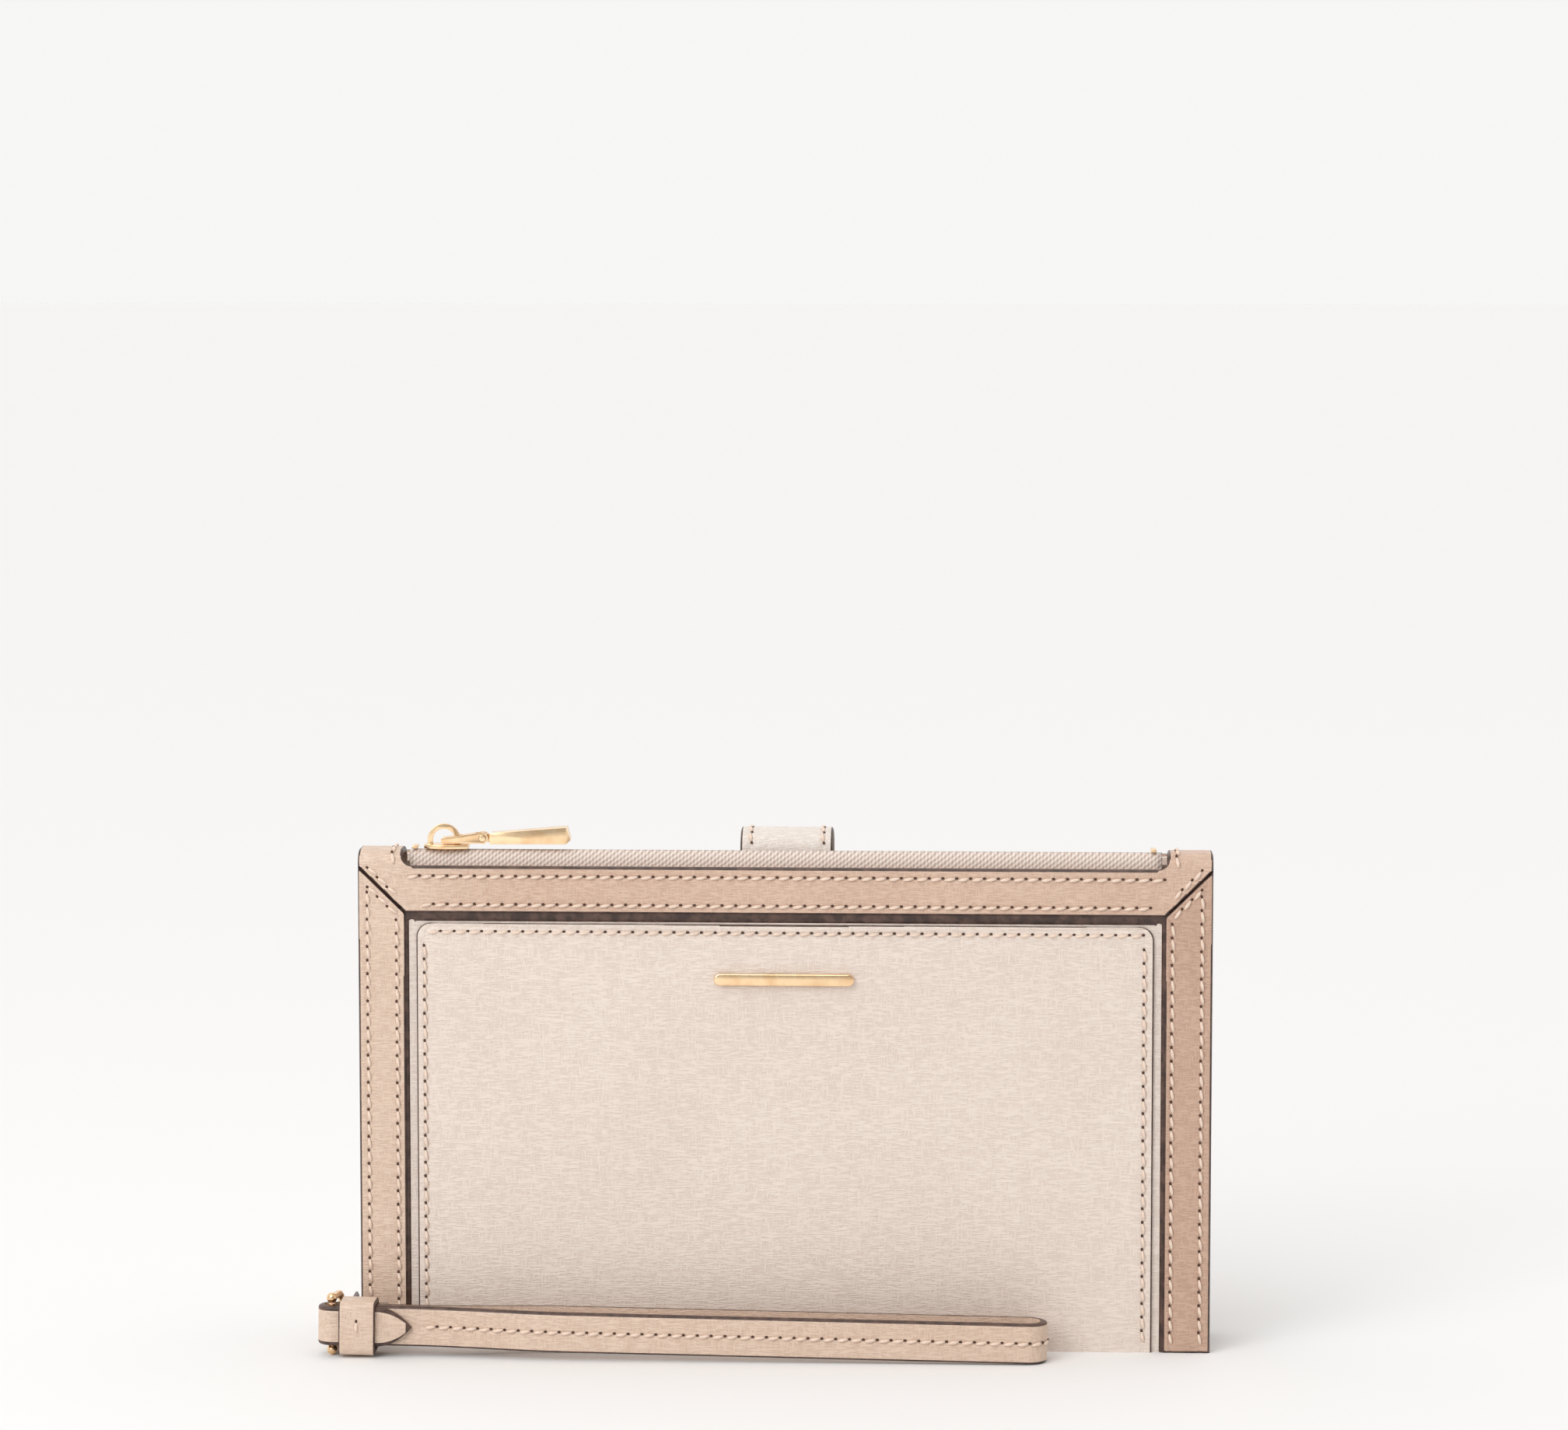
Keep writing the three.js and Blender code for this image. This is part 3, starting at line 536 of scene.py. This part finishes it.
back_turn = top_high[2] - OVER + OVER * math.pi + (top_high[1] - FRONT) - 2 * OVER
ear_end = back_turn + EAR_DROP
corner_run = SLOT + CORNER * (1 - np.cos(np.linspace(0, math.pi / 2, 8)))
past_slot = stops(ear_end - SLOT, (), 0.8, (False, True)) + SLOT
ear_run = np.unique(np.concatenate([band_run, corner_run, past_slot]).round(3))
mitre_slope = (SLOT - BAND_LOW) / (OUTER - WINDOW)
for name, side in (("left", -1), ("right", 1)):
    notch = np.sqrt(np.maximum(CORNER**2 - np.maximum(SLOT + CORNER - ear_run, 0) ** 2, 0))
    inner = half_band + np.where(ear_run < SLOT, 0, notch)
    outer = mitred_width(ear_run)
    share = stops(12.0, (2.2, 9.8)) / 12.0
    wide = inner[:, None] + (outer - inner)[:, None] * share[None, :]
    run = ear_run[:, None] + 0 * wide
    beside_slot = np.where(run < SLOT, np.hypot(wide - half_band, SLOT - run), wide - inner[:, None])
    to_outer = (outer[:, None] - wide) * np.where(run < SLOT, math.cos(math.atan(1 / mitre_slope)), 1)
    edge = np.minimum.reduce([beside_slot, to_outer, run - BAND_LOW, ear_end - run])
    points = over_the_top(side * wide, run, FRONT, top_high[1])
    seam_row = 0 if side > 0 else 1
    ear, _, _ = leather(f"top_ear_{name}", points[::side], EAR, tan_lit_at_left, edge=edge[::side],
                        seams=((seam_row, WINDOW_SEAM), (seam_row, slot_seam)))
    fit_piece(ear, "pouch", "tan_leather", "frame_top")

    points = side_strip(side, WINDOW, OUTER, side_low[2], BAND_LOW, SLOT, FRONT)[::side]
    # The left strip gets the lighter, lit copy of tan and the right strip the darker, shaded copy: painted
    # light and painted shade.
    lighting_copy = pale_and_lit_tan if side < 0 else shaded_tan
    strip, _, _ = leather(f"side_strip_{name}", points, STRIP, lighting_copy, seams=((2, SIDE_SEAM), (3, EDGE_SEAM)))
    fit_piece(strip, "pouch", "tan_leather", f"frame_{name}")

out, y = (0, -1, 0), FRONT + SUNK
slot_line, window_line = SLOT - EDGE_SEAM, BAND_LOW + WINDOW_SEAM
frame_seams = [
    straight((-SLOT_END - 0.6, y, slot_line), (SLOT_END + 0.6, y, slot_line), out),
    straight((-WINDOW + 1.5, y, window_line), (WINDOW - 1.5, y, window_line), out),
]
for seam_z in (slot_line, window_line):
    ends = [(side * SLOT_END, top_high[1] - SUNK, seam_z) for side in (-1, 1)]
    frame_seams.append(straight(*ends, (0, 1, 0)))
for side in (-1, 1):
    for x, seam_top in ((OUTER - EDGE_SEAM, SLOT - 5.0), (WINDOW + SIDE_SEAM, BAND_LOW - 1.0)):
        frame_seams.append(straight((side * x, y, 1.0), (side * x, y, seam_top), out))
    for shift in (-MITRE_SEAM, MITRE_SEAM):
        start = (side * (WINDOW + 0.8), y, BAND_LOW + 0.8 * mitre_slope + shift)
        end = (side * (OUTER - 1.4), y, BAND_LOW + (OUTER - WINDOW - 1.4) * mitre_slope + shift)
        frame_seams.append(straight(start, end, out))
    run = np.linspace(SLOT - 1.4, ear_end - 4, 60)
    line = over_the_top(side * (SLOT_END + 2.0) + 0 * run, run, FRONT, top_high[1])
    steep = np.gradient(line, axis=0)
    outward = np.stack([0 * run, -steep[:, 2], steep[:, 1]], -1)
    frame_seams.append((line, outward / np.linalg.norm(outward, axis=1, keepdims=True)))
stitches("frame_stitches", "pouch", frame_seams)


# ---- front panel: a pale leather plaque inside the frame, sewn along its sides and top ----
# It has round top corners and lies on a board in the frame's window, with a narrow gutter round it. The
# leaf's panel behind is made by the same function.

GUTTER, RAISED, BOARD_DEPTH = 2.3, 0.3, 1.1
PLAQUE_THICK, PLAQUE_CORNER, PLAQUE_SEAM = 0.78, 3.0, 1.9
LIP_BEND, LIP_THICK, BOARD_THICK = 1.8, 0.3, 0.9


def window_trim(name, body, half, tall, face_y, deeper):
    """The painted dark lip of the frame's window and the board that the plaque lies on. The lip is partly the
    frame's edge paint and partly painted shade in the gutter. Its grid runs up one side, round a quarter
    circle, across, round another and down, and slopes in from the frame; it is nearly three times as wide
    along the top, where the extra width is a painted shadow under the top strip. Deeper is 1 where it slopes
    towards +Y and -1 where not."""
    bend = LIP_BEND
    left = arc((-half + bend, tall[1] - bend), bend, math.pi, math.pi / 2, 8)
    right = arc((half - bend, tall[1] - bend), bend, math.pi / 2, 0, 8)
    route = np.concatenate([[(-half, tall[0])], left, right, [(half, tall[0])]])
    inward = np.gradient(route, axis=0)
    inward[0], inward[-1] = (0, 1), (0, -1)
    inward[1], inward[8], inward[9], inward[16] = (0, 1), (1, 0), (1, 0), (0, -1)
    inward = np.stack([inward[:, 1], -inward[:, 0]], -1) / np.linalg.norm(inward, axis=1, keepdims=True)
    offsets = np.array([-0.9, 0.0, 0.2, 0.5, 0.75])
    depths = np.array([0.6, 0.55, 0.6, 0.85, BOARD_DEPTH + 0.1])
    # Along the top the lip is widened into a painted shadow under the top strip.
    top_shadow_widening = 1 - 1.8 * np.minimum(inward[:, 1], 0)
    place = route[:, None, :] + inward[:, None, :] * (offsets * top_shadow_widening[:, None])[..., None]
    points = grid(place[..., 0], face_y + deeper * depths, place[..., 1])[:, ::deeper]
    lip, _, _ = leather(f"{name}_lip", points, LIP_THICK, edge_paint, (False,) * 4)
    fit_piece(lip, body, "tan_leather")
    x = np.linspace(-half + 0.2, half - 0.2, 40)
    z = np.linspace(tall[0], tall[1] - 0.2, 24)[:, None]
    points = grid(x, face_y + deeper * BOARD_DEPTH, z)[:, ::deeper]
    board, _, _ = leather(f"{name}_board", points, BOARD_THICK, pale_leather, (False,) * 4)
    fit_piece(board, body, "pale_leather")


def plaque(name, body, node, outward):
    """A rectangle with round top corners: each row is as wide as the corner arcs leave it. Outward is -1
    on a face that looks to the front and 1 on one that looks back. Returns its seams."""
    low, high = across(node)
    half, tall = (high[0] - low[0]) / 2, high[2] - low[2]
    face_y = low[1] if outward < 0 else high[1]
    share = stops(2 * half, (PLAQUE_SEAM, 2 * half - PLAQUE_SEAM)) / half - 1
    corner_rows = tall - PLAQUE_CORNER * (1 - np.cos(np.linspace(0, 1.5, 7)))
    rise = stops(tall, (tall - PLAQUE_SEAM,), 4.0, (False, True))
    rise = np.unique(np.concatenate([rise, corner_rows]).round(3))
    inset = np.maximum(rise - (tall - PLAQUE_CORNER), 0)
    width = half - PLAQUE_CORNER + np.sqrt(np.maximum(PLAQUE_CORNER**2 - inset**2, 0))
    points = grid(share * width[:, None], face_y, low[2] + rise[:, None])[:, ::-outward]
    cuts, seams = (False, True, True, True), [(side, PLAQUE_SEAM) for side in (1, 2, 3)]
    thing, _, _ = leather(name, points, PLAQUE_THICK, pale_leather, cuts, seams=seams)
    fit_piece(thing, body, "pale_leather", node)
    window_z = (low[2], high[2] + GUTTER)
    window_trim(name, body, half + GUTTER, window_z, face_y + RAISED * outward, -outward)
    reach, top = half - PLAQUE_SEAM, high[2] - PLAQUE_SEAM
    y, out = face_y - SUNK * outward, (0, outward, 0)
    return [straight((-reach, y, top), (reach, y, top), out),
            *(straight((x, y, low[2] + 1), (x, y, top - 2), out) for x in (-reach, reach))]


stitches("panel_stitches", "pouch", plaque("front_plaque", "pouch", "front_panel", -1))


# ---- wrist strap: one long loop of tan leather, doubled at the shackle and bound by a keeper ----
# The loop's two runs lie together at the keeper and part towards the far bend; its end tab has a point.

pin_low, pin_high = across("shackle_pin")
PIN = (pin_low + pin_high) / 2
STRAP = 8.6
STRAP_THICK, END_THICK, KEEPER_THICK = 1.5, 1.2, 0.9
LAYER = 0.85
LENGTH = across("strap_band")[1][0] - PIN[0]
SPREAD = 3.55
PARTING = 34
TIP, TAPER, TAIL = 17.3, 7.6, 11.8
KEEPER_START, KEEPER_WIDE, KEEPER_CORNER = 1.75, 7.8, 1.5
strap_base = across("strap_end_tab")[0][2]
strap_tilt = math.asin(strap_base / LENGTH)


def lay_strap(points):
    """Turns the strap's own length, side and height about its pin by its slope, and sets it there."""
    cos, sin = math.cos(strap_tilt), math.sin(strap_tilt)
    x, y, z = points[..., 0], points[..., 1], points[..., 2]
    return np.stack([PIN[0] + x * cos + z * sin, PIN[1] + y, strap_base + 0.15 - x * sin + z * cos], -1)


def ribbon(path, heights, out=0.0):
    """A strap's face: a path in plan, moved out by a distance and carried up to each height."""
    edge = beside(path, out)
    return grid(edge[:, :1], edge[:, 1:], heights)


run = np.linspace(1.5, LENGTH - SPREAD - 0.75, 70)
part = np.clip((run - TIP) / PARTING, 0, 1)
offset = LAYER + (SPREAD - LAYER) * part * part * (3 - 2 * part)
front_run = np.stack([run, -offset], -1)
back_run = np.stack([run, offset], -1)[::-1]
bend = arc((run[-1], 0), SPREAD, -math.pi / 2, math.pi / 2, 22)[1:-1]
loop = np.concatenate([front_run, bend, back_run])
strap_rise = stops(STRAP, (STRAP / 2,))
points = lay_strap(ribbon(loop, strap_rise, STRAP_THICK / 2))[:, ::-1]
strap, face, normals = leather("strap_loop", points, STRAP_THICK, pale_and_lit_tan, seams=((2, STRAP / 2),))
fit_piece(strap, "strap", "tan_leather", "strap_band")
column = face.shape[1] - 1 - int(np.argmin(abs(strap_rise - STRAP / 2)))
line = face[:, column]
keep = (line[:, 0] - PIN[0]) > TIP - 0.5
stitches("strap_stitches", "strap", [(line[keep], normals[:, column][keep])])

END_LAYER = STRAP_THICK + 0.3 + END_THICK / 2
outer_run = TIP - (TIP - 0.2) * np.linspace(0, 1, 34) ** 1.4
front_leaf = np.stack([outer_run, 0 * outer_run - END_LAYER], -1)
fold = arc((0, 0), END_LAYER, -math.pi / 2, -1.5 * math.pi, 16)
back_leaf = np.stack([np.linspace(0.2, TAIL, 8), np.full(8, END_LAYER)], -1)
path = np.concatenate([front_leaf, fold, back_leaf])[::-1]
taper = np.clip((TIP - path[:, 0]) / TAPER, 0, 1) * (path[:, 1] < 0) + (path[:, 1] >= 0)
half_width = (STRAP / 2 - 0.05) * np.maximum(1 - (1 - taper) ** 2.1, 0.02)
share = stops(STRAP, ()) / STRAP * 2 - 1
points = ribbon(path, 0 * share, END_THICK / 2)
points[..., 2] = STRAP / 2 + half_width[:, None] * share[None, :]
end_tab, _, _ = leather("strap_end_leaf", lay_strap(points)[:, ::-1], END_THICK, pale_and_lit_tan, paint=0.85)
fit_piece(end_tab, "strap", "tan_leather", "strap_end_tab")

keeper_low, keeper_high = across("strap_keeper")
half_y = (keeper_high[1] - keeper_low[1]) / 2
reach = half_y - KEEPER_CORNER
below = -0.9 - KEEPER_THICK + KEEPER_CORNER
above = STRAP + 0.2 + KEEPER_THICK - KEEPER_CORNER
middles = [(reach, below), (reach, above), (-reach, above), (-reach, below)]
ring = np.concatenate([arc(middle, KEEPER_CORNER, turn * math.pi / 2, (turn + 1) * math.pi / 2, 7)
                       for turn, middle in enumerate(middles, -1)])
points = lay_strap(grid(KEEPER_START + stops(KEEPER_WIDE), ring[:, :1], ring[:, 1:]))[:, ::-1]
keeper, _, _ = leather("strap_keeper_loop", points, KEEPER_THICK, pale_and_lit_tan, closed=True)
fit_piece(keeper, "strap", "tan_leather", "strap_keeper")
catch = np.stack([np.full(3, 5.6), np.full(3, -half_y + 0.1), STRAP / 2 + np.array([-1.7, 0, 1.7])], -1)
catch_out = np.tile([0.0, -1.0, 0.0], (3, 1))
stitches("keeper_stitch", "strap", [(lay_strap(catch), catch_out)], 0.0)


# ---- metalwork: cast and gold-plated zip slider, link and pull, shackle and pin, stud, stops and badge ----
# The castings' edges are rounded by polishing, and their faces are bright with faint polishing marks.

gold, tree, shader = new_material("gold_plate")
marks = stretched_noise(tree, (0.6, 3.0, 3.0), 3.0)
wear = remap(tree, stretched_noise(tree, (0.25, 0.25, 0.25)), 0.4, 0.7)
plating = mixed(tree, wear, (1.0, 0.74, 0.46, 1), (0.9, 0.6, 0.34, 1))
shine(tree, shader, plating, 0.16 + marks * 0.12, marks, 0.06)
shader.inputs["Metallic"].default_value = 1.0


CORNER_ANGLE = math.radians(25)


def polished(name, node, body, width):
    """A copy of a part with its doubles merged and every corner over CORNER_ANGLE rounded by a bevel."""
    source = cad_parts[node]
    work = bmesh.new()
    work.from_mesh(source.data)
    work.transform(source.matrix_world)
    bmesh.ops.remove_doubles(work, verts=work.verts, dist=1e-6)
    bmesh.ops.dissolve_limit(work, angle_limit=math.radians(1), verts=work.verts, edges=work.edges)
    mesh = bpy.data.meshes.new(name)
    work.to_mesh(mesh)
    work.free()
    mesh.materials.clear()
    mesh.materials.append(gold)
    thing = bpy.data.objects.new(name, mesh)
    bpy.context.scene.collection.objects.link(thing)
    bevel = thing.modifiers.new("polish", "BEVEL")
    bevel.width, bevel.segments, bevel.limit_method = width * MM, 3, "ANGLE"
    bevel.angle_limit, bevel.harden_normals = CORNER_ANGLE, False
    apply_modifiers(thing)
    thing.data.polygons.foreach_set("use_smooth", np.ones(len(thing.data.polygons), bool))
    fit_piece(thing, body, "gold_metal", node)


for node, body, width in (
    ("zip_slider", "slider", 0.16), ("pull_link", "link", 0.14), ("pull_pin", "pull", 0.1),
    ("pull_tab", "pull", 0.22), ("shackle_pin", "shackle", 0.08), ("shackle_bow", "shackle", 0.05),
    ("zip_stop_closed", "pouch", 0.12), ("zip_stop_open", "pouch", 0.12),
    ("snap_cap", "flap", 0.08), ("snap_stud", "flap", 0.06), ("snap_socket", "pouch", 0.05),
    ("bar_badge", "pouch", 0.3),
):
    polished(node + "_plated", node, body, width)


# ---- snap tab: one pale strap, sewn behind the leaf, that arches over it and carries the press stud ----
# Its edges are painted, and it is sewn along both sides, up its back and over the arch.

TAB_THICK, TAB_HALF, TAB_CORNER, TAB_SEAM = 1.2, 10.0, 3.0, 2.2
tab_low, tab_high = across("snap_tab")
flap_low, flap_high = across("snap_flap")
tab_back, tab_front = tab_high[1] - TAB_THICK / 2, flap_low[1] + TAB_THICK / 2
spring = flap_high[2] + 0.3
up = np.stack([np.full(8, tab_back), np.linspace(tab_low[2], spring, 8)], -1)
turn = np.linspace(0, math.pi, 22)[1:-1]
arch = np.stack([(tab_back + tab_front) / 2 + (tab_back - tab_front) / 2 * np.cos(turn),
                 spring + (tab_high[2] - TAB_THICK / 2 - spring) * np.sin(turn)], -1)
down = np.stack([np.full(10, tab_front), np.linspace(spring, flap_low[2], 10)], -1)
path = beside(np.concatenate([up, arch, down]), TAB_THICK / 2)
wide = stops(2 * TAB_HALF, (TAB_SEAM, 2 * TAB_HALF - TAB_SEAM)) - TAB_HALF
from_low = np.concatenate([[0], np.cumsum(np.linalg.norm(np.diff(path, axis=0), axis=1))])
to_end = np.minimum(from_low, from_low[-1] - from_low)
rounding = np.maximum(TAB_CORNER**2 - np.maximum(TAB_CORNER - to_end, 0) ** 2, 0)
narrow = TAB_HALF - TAB_CORNER + np.sqrt(rounding)
points = grid(wide / TAB_HALF * narrow[:, None], path[:, :1], path[:, 1:])[:, ::-1]
tab_seams = ((2, TAB_SEAM), (3, TAB_SEAM))
tab, face, normals = leather("snap_strap", points, TAB_THICK, snap_leather, seams=tab_seams)
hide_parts("snap_tab", "snap_flap")
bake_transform(tab)
inner = [int(np.argmin(abs(wide[::-1] - s))) for s in (TAB_SEAM - TAB_HALF, TAB_HALF - TAB_SEAM)]
sewn = slice(2, 27)
stitches("tab_stitches", "leaf", [(face[sewn, c], normals[sewn, c]) for c in inner])


# ---- leaf: a card leaf behind the pouch, framed and panelled like the front ----
# Three tan strips and a pale plaque on a backing, with a stiff board and stepped card slots inside it.

strip_low, strip_high = across("leaf_frame_right")
LEAF_BACK = strip_high[1]
LEAF_OUTER, LEAF_WINDOW = strip_high[0], strip_low[0]
leaf_top_low, leaf_top_high = across("leaf_frame_top")
LEAF_MITRE = strip_high[2] + 0.3
LEAF_BAND = leaf_top_low[2]
tall = leaf_top_high[2] - LEAF_BAND
run_up = stops(tall, (WINDOW_SEAM, tall - EDGE_SEAM)) + LEAF_BAND
widening = np.clip((run_up - LEAF_BAND) / (LEAF_MITRE - LEAF_BAND), 0, 1)
width = LEAF_WINDOW + (LEAF_OUTER - LEAF_WINDOW) * widening
x = (stops(2 * LEAF_OUTER) / LEAF_OUTER - 1) * width[:, None]
points = grid(x, LEAF_BACK, run_up[:, None])[::-1]
top_seams = ((1, WINDOW_SEAM), (1, tall - EDGE_SEAM))
top, _, _ = leather("leaf_top_strip", points, STRIP, tan_leather, seams=top_seams)
fit_piece(top, "leaf", "tan_leather", "leaf_frame_top")
out, y = (0, 1, 0), LEAF_BACK - SUNK
top_lines = ((LEAF_OUTER - EDGE_SEAM, LEAF_BAND + tall - EDGE_SEAM), (LEAF_WINDOW, LEAF_BAND + WINDOW_SEAM))
leaf_seams = [straight((-reach, y, z), (reach, y, z), out) for reach, z in top_lines]
for name, side in (("left", -1), ("right", 1)):
    foot = strip_low[2]
    points = side_strip(side, LEAF_WINDOW, LEAF_OUTER, foot, LEAF_BAND, LEAF_MITRE, LEAF_BACK)[::-side]
    strip, _, _ = leather(f"leaf_side_strip_{name}", points, STRIP, tan_leather,
                          seams=((2, SIDE_SEAM), (3, EDGE_SEAM)))
    fit_piece(strip, "leaf", "tan_leather", f"leaf_frame_{name}")
    for x, seam_top in ((LEAF_OUTER - EDGE_SEAM, LEAF_MITRE - 5), (LEAF_WINDOW + SIDE_SEAM, LEAF_BAND - 1)):
        leaf_seams.append(straight((side * x, y, foot + 1), (side * x, y, seam_top), out))
leaf_seams += plaque("leaf_plaque", "leaf", "leaf_panel", 1)
stitches("leaf_stitches", "leaf", leaf_seams)


# ---- zip: woven tapes over a nylon coil, closed by the slider ----
# The tapes roll over the coil, so only their ribbed twill shows, with a fine slit between them.

twill, tree, shader = new_material("zip_twill")
place = add_node(tree, "ShaderNodeTexCoord", {}, {}, output=3)
turned = add_node(tree, "ShaderNodeMapping", {}, {"Vector": place, "Rotation": (0, math.radians(-52), 0)})
waves = {"Vector": turned, "Scale": 350.0, "Distortion": 1.0, "Detail": 1.0, "Detail Scale": 2.0}
rib = add_node(tree, "ShaderNodeTexWave", {"bands_direction": "X"}, waves, output=1)
waves = {"Vector": place, "Scale": 420.0, "Distortion": 0.6}
weft = add_node(tree, "ShaderNodeTexWave", {"bands_direction": "X"}, waves, output=1)
height = rib * 0.6 + weft * 0.4
yarn = mixed(tree, height, linear(178, 152, 138), linear(246, 234, 224))
shine(tree, shader, yarn, 0.75, height, 0.7, 0.00015)
shader.inputs["Sheen Weight"].default_value = 0.2

ROLL, TAPE_THICK = 3.6, 0.5
for name, side in (("front", -1), ("back", 1)):
    low, high = across(f"zip_tape_{name}")
    near, far = (low[1], high[1]) if side > 0 else (high[1], low[1])
    t = np.linspace(0, math.pi / 2, 14)
    y = near + (far - near) * np.sin(t)
    z = (high[2] - ROLL) + ROLL * np.cos(t) ** 0.8
    hem = np.stack([np.full(3, far), np.linspace(high[2] - 4.2, low[2], 3)], -1)
    profile = np.concatenate([np.stack([y, z], -1), hem])
    x = np.linspace(low[0], high[0], 90)
    points = grid(x, profile[:, :1], profile[:, 1:])[::side]
    faces = grid_faces(len(profile), len(x))
    tape = make_object(f"zip_tape_{name}_woven", points.reshape(-1, 3) * MM, faces, [twill])
    shell = tape.modifiers.new("thickness", "SOLIDIFY")
    shell.thickness, shell.offset = TAPE_THICK * MM, -1.0
    apply_modifiers(tape)
    fit_piece(tape, "pouch", "zip_cloth", f"zip_tape_{name}")


# ---- inside: pockets with painted mouths, folded gussets, the shackle's tab, walls and lining ----
# Thin pale leather sewn under each mouth, tan folds at the pouch's ends, and flat walls of leather and cloth.


MOUTH_SEAM = 2.0


def pocket(name, body, node, outward):
    """A flat pocket layer on its CAD plate, its sides and mouth cut. Returns the seam under its mouth."""
    low, high = across(node)
    tall, y = high[2] - low[2], low[1] if outward < 0 else high[1]
    x = stops(high[0] - low[0]) + low[0]
    z = stops(tall, (tall - MOUTH_SEAM,), 6.0, (False, True)) + low[2]
    points = grid(x, y, z[:, None])[:, ::-outward]
    cuts, seams = (False, True, True, True), ((1, MOUTH_SEAM),)
    sheet, _, _ = leather(name, points, high[1] - low[1], pale_leather, cuts, seams=seams, paint=0.3)
    fit_piece(sheet, body, "pale_leather", node)
    ends = [(x, y, high[2] - MOUTH_SEAM) for x in (low[0] + 2, high[0] - 2)]
    return straight(*ends, (0, outward, 0))


mouths = [pocket(f"card_pocket_{n}", "leaf", f"card_slot_{n}", -1) for n in (1, 2, 3)]
stitches("card_pocket_stitches", "leaf", mouths)
stitches("note_pocket_stitches", "pouch", [pocket("note_pocket", "pouch", "bill_pocket", 1)])

for name, side in (("left", -1), ("right", 1)):
    low, high = across(f"gusset_{name}")
    share = np.linspace(-1, 1, 25)
    plan_y = (low[1] + high[1]) / 2 + share * (high[1] - low[1]) / 2
    plan_x = np.abs(low[0] + high[0]) / 2 - 0.6 + 2.2 * np.abs(share) ** 1.3
    z = stops(high[2] - low[2], (), 8.0) + low[2]
    points = grid(side * plan_x, plan_y, z[:, None])[:, ::side]
    fold, _, _ = leather(f"gusset_fold_{name}", points, 0.8, tan_leather, (False, True, False, False))
    fit_piece(fold, "pouch", "tan_leather", f"gusset_{name}")

SIDE_TAB_THICK, HOOK = 1.0, 2.05
tab_low, tab_high = across("strap_tab")
side_x = tab_high[0] - SIDE_TAB_THICK
hook = (tab_low[0] + HOOK, tab_low[1] + HOOK)
inside_run = np.stack([np.full(5, side_x), np.linspace(hook[1] + 5, tab_high[1], 5)], -1)
route = np.concatenate([[(tab_low[0], hook[1] + 1.0)], arc(hook, HOOK, -math.pi, 0, 16),
                        [(side_x, hook[1] + 3.2)], inside_run])
points = ribbon(route, stops(tab_high[2] - tab_low[2]) + tab_low[2])[:, ::-1]
shackle_tab, _, _ = leather("shackle_tab", points, SIDE_TAB_THICK, pale_and_lit_tan)
fit_piece(shackle_tab, "pouch", "tan_leather", "strap_tab")

cloth, tree, shader = new_material("lining_cloth")
weave = stretched_noise(tree, (4.0, 1.0, 4.0), 2.0)
shine(tree, shader, mixed(tree, weave, linear(214, 196, 180), linear(232, 216, 202)), 0.85, weave, 0.4)
for look, nodes in (
    (pale_leather, ("front_backing", "pouch_inner_wall", "base_spine", "leaf_backing", "leaf_board")),
    (cloth, ("pouch_lining",)),
    (twill, ("zip_coil_front", "zip_coil_back")),
):
    for node in nodes:
        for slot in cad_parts[node].material_slots:
            slot.material = look
